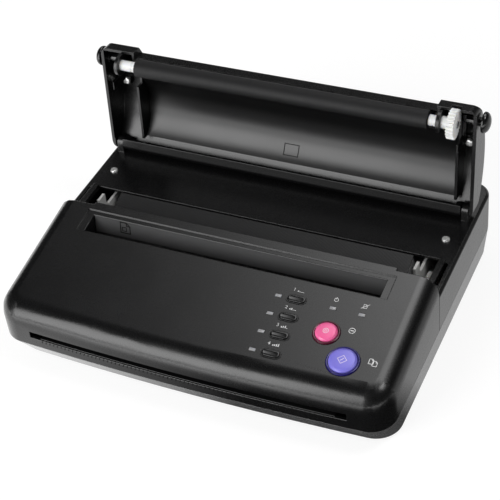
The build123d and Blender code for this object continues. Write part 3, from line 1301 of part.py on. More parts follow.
def make_motor():
    """The stepper motor's can and its two-eared flange, against the right frame."""
    y, z = PINION_CENTRE
    can = bar(FRAME_X - MOTOR_LENGTH, FRAME_X, y, z, MOTOR_RADIUS, ROUND_SIDES)
    return can + block(FRAME_X - 1, FRAME_X, y - MOTOR_EAR_SPREAD, y + MOTOR_EAR_SPREAD, z - 3.5, z + 3.5)


def make_motor_pinion(phase):
    """The pinion on the motor's shaft."""
    return place_gear(PINION_TEETH, phase, *PINION_CENTRE, MOTOR_SHAFT_RADIUS)


def make_motor_shaft():
    """The motor's shaft, from the can to the pinion's face."""
    return rod(FRAME_X + MOTOR_SHAFT_GAP, GEAR_X + GEAR_WIDTH, *PINION_CENTRE, MOTOR_SHAFT_RADIUS)


def board_block(size, centre):
    """A circuit board on its posts in the base."""
    x, y = centre[0], at(centre[1])
    low = FOOT_PROUD + BOARD_RISE
    return block(x - size[0] / 2, x + size[0] / 2, y - size[1] / 2, y + size[1] / 2, low,
                 low + BOARD_THICKNESS)


def make_power_inlet():
    """The three-pole mains inlet in the rear wall."""
    z = REAR_FITTING_HEIGHT
    body = block(INLET_X - INLET_WIDTH / 2 + 0.2, INLET_X + INLET_WIDTH / 2 - 0.2, REAR_Y - INLET_DEPTH,
                 REAR_Y, z - INLET_HEIGHT / 2 + 0.2, z + INLET_HEIGHT / 2 - 0.2)
    flange_y = REAR_Y - WALL
    body += block(INLET_X - INLET_WIDTH / 2 - INLET_FLANGE, INLET_X + INLET_WIDTH / 2 + INLET_FLANGE,
                  flange_y - 1.5, flange_y, z - INLET_HEIGHT / 2 - 1, z + INLET_HEIGHT / 2 + 1)
    half_w, half_h, bevel = INLET_WIDTH / 2 - 1.8, INLET_HEIGHT / 2 - 1.8, 4.0
    socket = Polyline((-half_w, -half_h), (half_w, -half_h), (half_w, half_h - bevel),
                      (half_w - bevel, half_h), (-half_w + bevel, half_h), (-half_w, half_h - bevel), close=True)
    mouth = Plane(origin=(INLET_X, REAR_Y + 1, z), x_dir=(1, 0, 0), z_dir=(0, -1, 0)).location
    body -= extrude(mouth * make_face(socket), INLET_DEPTH - 1.5)
    for x, dz in ((-7, -1), (7, -1), (0, 3)):
        body += block(INLET_X + x - 1, INLET_X + x + 1, REAR_Y - INLET_DEPTH + 1, REAR_Y - 3,
                      z + dz - 2, z + dz + 2)
    return body


def rocker_pivot():
    """The rocker's pivot pins, reaching past its sides into the frame."""
    half = ROCKER_WIDTH / 2 - SWITCH_WALL + PIVOT_REACH
    return bar(SWITCH_X - half, SWITCH_X + half, REAR_Y - ROCKER_DEPTH, REAR_FITTING_HEIGHT, PIVOT_RADIUS)


def make_switch_frame():
    """The frame that the rocker switch tips in."""
    z = REAR_FITTING_HEIGHT
    x0, x1 = SWITCH_X - ROCKER_WIDTH / 2 + 0.1, SWITCH_X + ROCKER_WIDTH / 2 - 0.1
    z0, z1 = z - ROCKER_HEIGHT / 2 + 0.1, z + ROCKER_HEIGHT / 2 - 0.1
    frame = block(x0, x1, REAR_Y - 14, REAR_Y, z0, z1)
    frame += block(x0 - 1.2, x1 + 1.2, REAR_Y - WALL - 1.4, REAR_Y - WALL, z0 - 1.2, z1 + 1.2)
    frame -= block(x0 + 1.2, x1 - 1.2, REAR_Y - 11, REAR_Y + 1, z0 + 1.2, z1 - 1.2)
    reach = ROCKER_WIDTH / 2 - SWITCH_WALL + PIVOT_REACH + 0.1
    return frame - bar(SWITCH_X - reach, SWITCH_X + reach, REAR_Y - ROCKER_DEPTH, z, PIVOT_RADIUS + 0.15)


def make_power_rocker():
    """The rocker of the power switch, tipped to off."""
    z = REAR_FITTING_HEIGHT
    half = ROCKER_HEIGHT / 2 - 2.2
    x0, x1 = SWITCH_X - ROCKER_WIDTH / 2 + 1.7, SWITCH_X + ROCKER_WIDTH / 2 - 1.7
    profile = yz_face(
        Line(yz(-2.2, -half), yz(-3.4, -2)),
        ThreePointArc(yz(-3.4, -2), yz(-hypot(3.4, 2), 0), yz(-3.4, 2)),
        Line(yz(-3.4, 2), yz(-2.2, half)),
        Line(yz(-2.2, half), yz(2.0, half)),
        ThreePointArc(yz(2.0, half), yz(0.6, 0), yz(2.0, -half)),
        Line(yz(2.0, -half), yz(-2.2, -half)),
    )
    rocker = slab(profile, x0, x1)
    return Pos(0, REAR_Y - ROCKER_DEPTH, z) * Rot(ROCKER_TILT, 0, 0) * rocker + rocker_pivot()


# --- writing ------------------------------------------------------------------------------------------------------------


def write(name, shape):
    """Writes one named piece."""
    piece = Compound(children=list(shape)) if isinstance(shape, list) else shape
    export_step(piece, f"parts/{name}.step")


def write_casing():
    write("base_pan", make_base_pan())
    write("rubber_feet", make_rubber_feet())
    write("front_cover", make_front_cover())
    write("rear_cover", make_rear_cover())
    write("deck_screws", make_deck_screws())
    write("case_screws", make_case_screws())


def write_panel():
    write("pill_rims", make_pill_rims())
    for number, (x, place) in enumerate(pill_places(), start=1):
        write(f"pill_button_{number}", make_pill_button(x, place))
    write("stop_button", make_round_button(*round_places()[0]))
    write("start_button", make_round_button(*round_places()[1]))
    write("stop_bezel", make_bezel(*round_places()[0]))
    write("start_bezel", make_bezel(*round_places()[1]))
    write("lamp_lenses", make_lamp_lenses())
    write("control_board", make_control_board())
    write("key_switches", make_key_switches())


def write_cover(phases):
    write("cover_shell", swung(make_cover_shell()))
    write("cover_inner_sheet", swung(make_inner_sheet()))
    write("roller_bracket_left", swung(make_roller_bracket(LEFT_WALL_X, LEFT_ARM_X, -1)))
    write("roller_bracket_right", swung(make_roller_bracket(RIGHT_WALL_X, RIGHT_ARM_X, 1)))
    write("roller_bushes", [swung(bush) for bush in make_bushes()])
    write("cover_screws", [swung(screw) for screw in make_cover_screws()])
    write("hinge_pins", [swung(pin) for pin in make_hinge_pins()])
    write("platen_roller", swung(make_platen_roller()))
    write("platen_shaft", swung(make_platen_shaft()))
    write("platen_gear", swung(make_platen_gear(phases["platen"])))
    for name, side in (("left", -1), ("right", 1)):
        write(f"release_button_{name}", swung(make_release_button(side)))
        write(f"latch_hook_{name}", swung(make_latch_hook(side)))


def write_gears(phases):
    bore = STUD_RADIUS + RUNNING_GAP
    write("feed_gear", place_gear(FEED_TEETH, phases["feed"], *FEED_CENTRE, FEED_SHAFT_RADIUS))
    write("large_idler_gear", place_gear(LARGE_TEETH, phases["large"], *LARGE_IDLER_CENTRE, bore))
    write("front_idler_gear", place_gear(SMALL_TEETH, phases["front"], *FRONT_IDLER_CENTRE, bore))
    write("drive_gear", place_gear(SMALL_TEETH, phases["drive"], *DRIVE_CENTRE, bore))
    write("rear_idler_gear", place_gear(SMALL_TEETH, phases["rear"], *REAR_IDLER_CENTRE, bore))
    write("motor_pinion", make_motor_pinion(phases["pinion"]))
    write("gear_studs", make_gear_studs())


def write_works():
    write("side_frame_left", make_side_frame(-1))
    write("side_frame_right", make_side_frame(1))
    write("thermal_head", make_thermal_head())
    write("heat_sink", make_heat_sink())
    write("head_bracket", make_head_bracket())
    write("head_springs", make_head_springs())
    write("feed_roller", make_feed_roller())
    write("feed_shaft", make_feed_shaft())
    write("feed_chute", make_feed_chute())
    write("scanner_bar", make_scanner_bar())
    write("scanner_glass", scanner_glass_block())
    write("stepper_motor", make_motor())
    write("motor_shaft", make_motor_shaft())
    write("main_board", board_block(MAIN_BOARD_SIZE, MAIN_BOARD_CENTRE))
    write("power_board", board_block(POWER_BOARD_SIZE, POWER_BOARD_CENTRE))
    write("power_inlet", make_power_inlet())
    write("switch_frame", make_switch_frame())
    write("power_rocker", make_power_rocker())


def main():
    os.makedirs("parts", exist_ok=True)
    phases = gear_phases()
    write_casing()
    write_panel()
    write_cover(phases)
    write_gears(phases)
    write_works()


main()
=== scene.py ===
"""The dressed thermal stencil copier: finishes, fine pieces, light and camera.

The solids come packed with their bodies. This file gives each one its finish, adds the small pieces
that a mould, a press or a printer leaves on the real machine, and sets up a plain pale studio.
"""

from __future__ import annotations

import json
import logging
import math
from dataclasses import dataclass, field
from enum import Enum
from functools import cache
from typing import Callable, Sequence

import bmesh  # noqa: E402
import bpy  # noqa: E402
from mathutils import Matrix, Vector  # noqa: E402
from mathutils.bvhtree import BVHTree  # noqa: E402

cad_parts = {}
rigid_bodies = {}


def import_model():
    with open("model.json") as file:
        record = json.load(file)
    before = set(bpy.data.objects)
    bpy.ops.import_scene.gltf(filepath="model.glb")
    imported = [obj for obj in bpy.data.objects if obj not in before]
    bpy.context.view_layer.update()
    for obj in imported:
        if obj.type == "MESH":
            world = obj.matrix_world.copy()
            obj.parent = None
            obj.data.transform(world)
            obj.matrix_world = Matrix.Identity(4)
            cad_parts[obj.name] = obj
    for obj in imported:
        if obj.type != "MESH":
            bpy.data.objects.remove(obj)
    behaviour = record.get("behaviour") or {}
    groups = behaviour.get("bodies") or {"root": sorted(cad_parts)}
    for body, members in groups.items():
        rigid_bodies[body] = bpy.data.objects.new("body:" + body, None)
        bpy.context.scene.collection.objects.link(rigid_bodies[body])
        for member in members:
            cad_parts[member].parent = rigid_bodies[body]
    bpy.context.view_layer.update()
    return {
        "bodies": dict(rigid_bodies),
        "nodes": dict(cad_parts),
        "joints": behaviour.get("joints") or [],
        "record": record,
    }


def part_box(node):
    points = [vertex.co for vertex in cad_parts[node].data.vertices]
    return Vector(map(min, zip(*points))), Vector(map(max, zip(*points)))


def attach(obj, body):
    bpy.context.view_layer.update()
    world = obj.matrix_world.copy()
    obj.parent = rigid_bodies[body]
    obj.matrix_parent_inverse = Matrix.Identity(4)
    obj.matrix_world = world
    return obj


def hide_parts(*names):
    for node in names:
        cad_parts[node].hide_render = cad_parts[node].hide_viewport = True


LOG = logging.getLogger("copier")
MM = 0.001
END_SIDES = 40
SAME_PLACE = 0.0005
ON_AXIS = 0.001
PRESS_FROM = 8.0

Colour = tuple[float, float, float]
Spot = tuple[float, float, float]
Outline = Sequence[tuple[float, float]]
Number = float | int


# --- shader maths ---------------------------------------------------------------------------------


class Wire:
    """One value output of a shader node, with arithmetic that adds Math nodes."""

    def __init__(self, tree: bpy.types.NodeTree, socket: bpy.types.NodeSocket) -> None:
        """Wraps a socket of a tree."""
        self.tree = tree
        self.socket = socket

    def maths(self, operation: str, *values: "Wire | Number") -> "Wire":
        """Adds a Math node.

        Args:
            operation: the node's operation.
            values: what its inputs take, in order.

        Returns:
            The node's output.
        """
        node = self.tree.nodes.new("ShaderNodeMath")
        node.operation = operation
        for socket, value in zip(node.inputs, values):
            if isinstance(value, Wire):
                self.tree.links.new(value.socket, socket)
            else:
                socket.default_value = float(value)
        return Wire(self.tree, node.outputs[0])

    def __add__(self, other: "Wire | Number") -> "Wire":
        """This plus another."""
        return self.maths("ADD", self, other)

    __radd__ = __add__

    def __sub__(self, other: "Wire | Number") -> "Wire":
        """This less another."""
        return self.maths("SUBTRACT", self, other)

    def __rsub__(self, other: "Wire | Number") -> "Wire":
        """Another less this."""
        return self.maths("SUBTRACT", other, self)

    def __mul__(self, other: "Wire | Number") -> "Wire":
        """This times another."""
        return self.maths("MULTIPLY", self, other)

    __rmul__ = __mul__

    def __truediv__(self, other: "Wire | Number") -> "Wire":
        """This over another."""
        return self.maths("DIVIDE", self, other)

    def over(self, edge: Number) -> "Wire":
        """1 where this is greater than edge, else 0."""
        return self.maths("GREATER_THAN", self, edge)

    def under(self, edge: Number) -> "Wire":
        """1 where this is less than edge, else 0."""
        return self.maths("LESS_THAN", self, edge)

    def size(self) -> "Wire":
        """This without its sign."""
        return self.maths("ABSOLUTE", self)

    def clipped(self) -> "Wire":
        """This kept between 0 and 1."""
        return self.maths("MINIMUM", self.maths("MAXIMUM", self, 0.0), 1.0)

    def repeat(self, pitch: Number) -> "Wire":
        """How far this is past the last whole pitch, from 0 to 1."""
        return self.maths("FRACT", self / pitch)


class Recipe:
    """A material under construction: a Principled shader and the nodes that feed it."""

    def __init__(self, name: str) -> None:
        """Starts an empty node material of that name."""
        self.material = bpy.data.materials.new(f"{name}_finish")
        self.material.use_nodes = True
        self.tree = self.material.node_tree
        self.tree.nodes.clear()
        self.output = self.tree.nodes.new("ShaderNodeOutputMaterial")
        self.shader = self.tree.nodes.new("ShaderNodeBsdfPrincipled")
        self.tree.links.new(self.shader.outputs[0], self.output.inputs["Surface"])

    def node(
        self,
        kind: str,
        settings: dict[str, object] | None = None,
        inputs: dict[str | int, object] | None = None,
        stops: Sequence[tuple[float, Sequence[float]]] = (),
    ) -> bpy.types.Node:
        """Adds a node.

        Args:
            kind: the node's type.
            settings: its properties, set before its sockets.
            inputs: a value, a Wire or a socket for each named or numbered input.
            stops: a ramp's positions and colours.

        Returns:
            The node.
        """
        node = self.tree.nodes.new(kind)
        for key, value in (settings or {}).items():
            setattr(node, key, value)
        if stops:
            ramp = node.color_ramp
            while len(ramp.elements) < len(stops):
                ramp.elements.new(0.5)
            for element, (place, colour) in zip(ramp.elements, stops):
                element.position = place
                element.color = (*colour, 1.0) if len(colour) == 3 else colour
        for key, value in (inputs or {}).items():
            self.feed(node.inputs[key], value)
        return node

    def feed(self, socket: bpy.types.NodeSocket, value: object) -> None:
        """Sets or links a socket."""
        if isinstance(value, Wire):
            self.tree.links.new(value.socket, socket)
        elif isinstance(value, bpy.types.NodeSocket):
            self.tree.links.new(value, socket)
        elif isinstance(value, (tuple, list)) and len(value) == 3 and socket.type == "RGBA":
            socket.default_value = (*value, 1.0)
        else:
            socket.default_value = value

    def place(self, stretch: Sequence[float] = (1.0, 1.0, 1.0)) -> bpy.types.NodeSocket:
        """The piece's own coordinates in metres, stretched along each axis.

        Args:
            stretch: the factor along X, Y and Z.

        Returns:
            A vector socket.
        """
        coordinates = self.node("ShaderNodeTexCoord")
        mapping = self.node(
            "ShaderNodeMapping",
            inputs={"Vector": coordinates.outputs["Object"], "Scale": tuple(stretch)},
        )
        return mapping.outputs["Vector"]

    def axis(self, letter: str) -> Wire:
        """One of the piece's own coordinates, in metres."""
        split = self.node("ShaderNodeSeparateXYZ", inputs={0: self.place()})
        return Wire(self.tree, split.outputs[letter])

    def noise(
        self, scale: float, detail: float = 2.0, stretch: Sequence[float] = (1.0, 1.0, 1.0)
    ) -> Wire:
        """A noise between 0 and 1.

        Args:
            scale: its waves per metre.
            detail: its octaves.
            stretch: the factor along each axis.

        Returns:
            The noise.
        """
        node = self.node(
            "ShaderNodeTexNoise",
            inputs={"Vector": self.place(stretch), "Scale": scale, "Detail": detail},
        )
        return Wire(self.tree, node.outputs[0])

    def blend(self, share: "Wire | Number", first: object, second: object) -> bpy.types.NodeSocket:
        """A colour between two.

        Args:
            share: 0 for the first, 1 for the second.
            first: a colour or a colour socket.
            second: a colour or a colour socket.

        Returns:
            The mixed colour.
        """
        node = self.node(
            "ShaderNodeMix",
            settings={"data_type": "RGBA"},
            inputs={"Factor": share, 6: first, 7: second},
        )
        return node.outputs[2]

    def bump(self, height: Wire, depth: float, strength: float = 1.0) -> None:
        """Feeds the shader's normal from a height.

        Args:
            height: the height, from 0 to 1.
            depth: the depth in metres that 1 stands for.
            strength: how strongly it shows.
        """
        node = self.node(
            "ShaderNodeBump", inputs={"Strength": strength, "Distance": depth, "Height": height}
        )
        self.feed(self.shader.inputs["Normal"], node.outputs[0])

    def set(self, **values: object) -> None:
        """Sets the shader's sockets, named with underscores for spaces."""
        for key, value in values.items():
            self.feed(self.shader.inputs[key.replace("_", " ")], value)


# --- finishes -------------------------------------------------------------------------------------


def scaled(colour: Colour, share: float) -> Colour:
    """A colour made darker or lighter, and kept within white."""
    return tuple(min(1.0, level * share) for level in colour)


@dataclass(frozen=True)
class Moulded:
    """Injection-moulded plastic with a fine spark-eroded grain."""

    name: str
    colour: Colour
    roughness: float = 0.3
    grain: float = 2600.0
    depth: float = 0.000003
    mottle: float = 0.08
    specular: float = 0.5
    subsurface: float = 0.0
    cloud_waves: float = 38.0
    cloud_swing: float = 0.06
    grain_swing: float = 0.08

    def make(self) -> bpy.types.Material:
        """Builds the material."""
        recipe = Recipe(self.name)
        cloud = recipe.noise(self.cloud_waves, 3.0)
        fine = recipe.noise(self.grain, 3.0)
        darker = scaled(self.colour, 1 - self.mottle)
        recipe.set(
            Base_Color=recipe.blend(cloud, darker, scaled(self.colour, 1 + self.mottle)),
            Roughness=self.roughness
            + (cloud - 0.5) * self.cloud_swing
            + (fine - 0.5) * self.grain_swing,
            Specular_IOR_Level=self.specular,
            Subsurface_Weight=self.subsurface,
            Subsurface_Radius=(0.004, 0.003, 0.002),
            Subsurface_Scale=1.0,
        )
        recipe.bump(fine, self.depth)
        return recipe.material


@dataclass(frozen=True)
class Metal:
    """Steel or aluminium with the fine lines its working leaves along one axis."""

    name: str
    colour: Colour
    roughness: float = 0.28
    lines: tuple[float, float, float] = (1.0, 30.0, 30.0)
    depth: float = 0.000008
    metallic: float = 0.85
    line_waves: float = 140.0
    line_swing: float = 0.16
    spot_waves: float = 60.0
    spot_share: float = 0.82

    def make(self) -> bpy.types.Material:
        """Builds the material."""
        recipe = Recipe(self.name)
        drawn = recipe.noise(self.line_waves, 3.0, self.lines)
        spots = recipe.noise(self.spot_waves, 2.0)
        recipe.set(
            Base_Color=recipe.blend(spots, scaled(self.colour, self.spot_share), self.colour),
            Metallic=self.metallic,
            Roughness=self.roughness + (drawn - 0.5) * self.line_swing,
        )
        recipe.bump(drawn, self.depth)
        return recipe.material


@dataclass(frozen=True)
class Rubber:
    """Ground rubber, dull, with the faint rings of the grinding wheel."""

    name: str
    colour: Colour
    roughness: float = 0.62
    rings: float = 900.0
    ring_swing: float = 0.12
    ring_share: float = 0.6
    pore_waves: float = 2400.0
    dust_waves: float = 45.0
    dust_share: float = 1.5
    specular: float = 0.3
    depth: float = 0.00003

    def make(self) -> bpy.types.Material:
        """Builds the material."""
        recipe = Recipe(self.name)
        ring = recipe.noise(self.rings, 2.0, (1.0, 0.02, 0.02))
        pore = recipe.noise(self.pore_waves, 2.0)
        dust = recipe.noise(self.dust_waves, 4.0)
        recipe.set(
            Base_Color=recipe.blend(dust, self.colour, scaled(self.colour, self.dust_share)),
            Roughness=self.roughness + (ring - 0.5) * self.ring_swing,
            Specular_IOR_Level=self.specular,
        )
        recipe.bump(ring * self.ring_share + pore * (1 - self.ring_share), self.depth)
        return recipe.material


@dataclass(frozen=True)
class HeadGlaze:
    """The glazed ceramic of the thermal head, with its fine leads and one heater line."""

    name: str
    colour: Colour = (0.02, 0.02, 0.0205)
    line: Colour = (0.03, 0.03, 0.03)
    line_y: float = 0.0023
    line_width: float = 0.0006
    lead_pitch: float = 0.0009
    lead_share: float = 1.7
    lead_swing: float = 0.1
    roughness: float = 0.26

    def make(self) -> bpy.types.Material:
        """Builds the material."""
        recipe = Recipe(self.name)
        leads = recipe.axis("X").repeat(self.lead_pitch).over(0.5)
        away = (recipe.axis("Y") - self.line_y).size()
        line = away.under(self.line_width)
        base = recipe.blend(leads * 0.5, self.colour, scaled(self.colour, self.lead_share))
        roughness = self.roughness + leads * self.lead_swing
        recipe.set(Base_Color=recipe.blend(line, base, self.line), Roughness=roughness)
        return recipe.material


@dataclass(frozen=True)
class Circuit:
    """A lacquered circuit board with tracks under its green."""

    name: str
    colour: Colour = (0.01, 0.09, 0.035)
    track: Colour = (0.03, 0.2, 0.08)
    cells: float = 260.0
    track_width: float = 0.06
    depth: float = 0.00004
    roughness: float = 0.35

    def make(self) -> bpy.types.Material:
        """Builds the material."""
        recipe = Recipe(self.name)
        cells = recipe.node(
            "ShaderNodeTexVoronoi",
            settings={"feature": "DISTANCE_TO_EDGE"},
            inputs={"Vector": recipe.place((1.0, 1.0, 0.0)), "Scale": self.cells},
        )
        tracks = Wire(recipe.tree, cells.outputs[0]).under(self.track_width)
        green = recipe.blend(tracks, self.colour, self.track)
        recipe.set(Base_Color=green, Roughness=self.roughness)
        recipe.bump(tracks, self.depth)
        return recipe.material


@dataclass(frozen=True)
class Clear:
    """Clear glass."""

    name: str
    colour: Colour = (0.85, 0.92, 0.92)
    roughness: float = 0.04
    smear_waves: float = 50.0
    smear_swing: float = 0.05
    clearness: float = 0.8

    def make(self) -> bpy.types.Material:
        """Builds the material."""
        recipe = Recipe(self.name)
        smear = recipe.noise(self.smear_waves, 3.0)
        recipe.set(
            Base_Color=self.colour,
            Roughness=self.roughness + smear * self.smear_swing,
            Transmission_Weight=self.clearness,
            IOR=1.5,
        )
        return recipe.material


@dataclass(frozen=True)
class Printed:
    """Pad-printed ink, slightly uneven."""

    name: str
    colour: Colour = (0.78, 0.78, 0.78)
    roughness: float = 0.5
    patch_waves: float = 900.0
    worn_share: float = 0.8

    def make(self) -> bpy.types.Material:
        """Builds the material."""
        recipe = Recipe(self.name)
        patch = recipe.noise(self.patch_waves, 2.0)
        ink = recipe.blend(patch, scaled(self.colour, self.worn_share), self.colour)
        recipe.set(Base_Color=ink, Roughness=self.roughness)
        return recipe.material


class Finish(Enum):
    """Every finish of the machine."""

    CASE = Moulded("case_black", (0.004, 0.004, 0.0042), roughness=0.27)
    BASE = Moulded("base_black", (0.1, 0.1, 0.101), roughness=0.26)
    COVER = Moulded("cover_black", (0.004, 0.004, 0.0042), roughness=0.27)
    INNER = Moulded("inner_black", (0.004, 0.004, 0.0042), roughness=0.32, grain=1800.0)
    # The throat lining's paler grey is partly painted sheen: it stands in for some of the brightness
    # that the throat wall shows in the light.
    LINING = Moulded("lining_grey_and_sheen", (0.06, 0.06, 0.061), roughness=0.45)
    DEEP = Moulded("mark_black", (0.003, 0.003, 0.003), roughness=0.6, specular=0.2)
    KEY = Moulded("key_black", (0.004, 0.004, 0.0042), roughness=0.2)
    PINK = Moulded("key_pink", (0.84, 0.13, 0.33), roughness=0.3, mottle=0.04, subsurface=0.15)
    VIOLET = Moulded("key_violet", (0.2, 0.18, 0.66), roughness=0.3, mottle=0.04, subsurface=0.1)
    MAROON = Moulded("ring_maroon", (0.07, 0.006, 0.02), roughness=0.25)
    NAVY = Moulded("ring_navy", (0.012, 0.008, 0.11), roughness=0.25)
    LAMP = Moulded("lamp_grey", (0.3, 0.3, 0.31), roughness=0.3, subsurface=0.2)
    NYLON = Moulded("nylon_white", (0.8, 0.8, 0.785), roughness=0.42, mottle=0.02, subsurface=0.2)
    PALE = Moulded("frame_pale", (0.5, 0.5, 0.49), roughness=0.4, mottle=0.04)
    SWITCH = Moulded("switch_grey", (0.06, 0.06, 0.065), roughness=0.4)
    STEEL = Metal("ground_steel", (0.62, 0.62, 0.63), roughness=0.26)
    SCREW = Metal(
        "screw_nickel", (0.86, 0.86, 0.85), roughness=0.3, lines=(4.0, 4.0, 4.0), metallic=0.7
    )
    ZINC = Metal("zinc_sheet", (0.7, 0.7, 0.71), roughness=0.36, lines=(8.0, 8.0, 8.0))
    ALUMINIUM = Metal("extruded_aluminium", (0.72, 0.72, 0.74), roughness=0.38)
    MOTOR = Metal("motor_can", (0.3, 0.3, 0.31), roughness=0.4, lines=(6.0, 6.0, 6.0))
    RUBBER = Rubber("roller_rubber", (0.006, 0.006, 0.0063))
    FOOT = Rubber("foot_rubber", (0.02, 0.02, 0.02), rings=300.0)
    HEAD = HeadGlaze("head_ceramic")
    BOARD = Circuit("board_green")
    GLASS = Clear("glass_clear")
    INK = Printed("panel_ink")
    SIGN = Printed("key_ink", (0.95, 0.85, 0.92))

    @cache
    def material(self) -> bpy.types.Material:
        """This finish's material, made the first time that it is asked for."""
        return self.value.make()

    def slot(self) -> str:
        """The record's material slot that stands for this finish."""
        kin = {
            "mark_black": "key_black", "lining_grey_and_sheen": "case_black", "frame_pale": "plated_steel",
            "ground_steel": "steel", "screw_nickel": "plated_steel", "zinc_sheet": "plated_steel",
            "motor_can": "motor_grey", "extruded_aluminium": "sink_aluminium",
            "panel_ink": "lamp_grey", "key_ink": "lamp_grey",
        }
        return kin.get(self.value.name, self.value.name)


def coat(piece: bpy.types.Object, finish: Finish) -> None:
    """Gives a piece one finish all over.

    Args:
        piece: the piece.
        finish: its finish.
    """
    material = finish.material()
    if not piece.material_slots:
        piece.data.materials.append(material)
    for slot in piece.material_slots:
        slot.material = material


def show(name: str, mesh: bmesh.types.BMesh, finish: Finish, sharp: float) -> bpy.types.Object:
    """Makes a shaded piece of a mesh.

    Args:
        name: the piece's name.
        mesh: its mesh in metres, which is used up.
        finish: its finish.
        sharp: the angle in degrees past which an edge stays sharp.

    Returns:
        The piece.
    """
    data = bpy.data.meshes.new(name)
    mesh.to_mesh(data)
    mesh.free()
    piece = bpy.data.objects.new(name, data)
    bpy.context.collection.objects.link(piece)
    if "custom_normal" in data.attributes:
        data.attributes.remove(data.attributes["custom_normal"])
    data.shade_smooth()
    data.set_sharp_from_angle(angle=math.radians(sharp))
    coat(piece, finish)
    return piece


def settle(piece: bpy.types.Object, body: str, nodes: Sequence[str]) -> None:
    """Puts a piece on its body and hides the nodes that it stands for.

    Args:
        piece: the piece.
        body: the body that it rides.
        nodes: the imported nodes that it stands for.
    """
    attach(piece, body)
    if nodes:
        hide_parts(*nodes)
    LOG.info("piece %s rides %s", piece.name, body)


def facing(x: float, y: float, z: float) -> Matrix:
    """The frame of a spot on a wall that faces the front, in millimetres."""
    return Matrix.Translation((x, y, z)) @ Matrix.Rotation(math.pi / 2, 4, "X")


def verts_of(parts: Sequence[object]) -> list[bmesh.types.BMVert]:
    """The vertices among the parts that an operator made."""
    return [part for part in parts if isinstance(part, bmesh.types.BMVert)]


# --- the bench: pieces worked in millimetres ------------------------------------------------------


class Skin:
    """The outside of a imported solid, for flat marks to lie on."""

    def __init__(self, solid: bpy.types.Object) -> None:
        """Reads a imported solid's surface."""
        mesh = bmesh.new()
        mesh.from_mesh(solid.data)
        self.tree = BVHTree.FromBMesh(mesh)
        mesh.free()

    def under(self, point: Vector, along: Vector) -> Vector:
        """Where a line meets the surface.

        Args:
            point: the line's start, in metres.
            along: its direction.

        Returns:
            The first point met, or the start where it meets none.
        """
        met = self.tree.ray_cast(point, along)[0]
        return met if met is not None else point


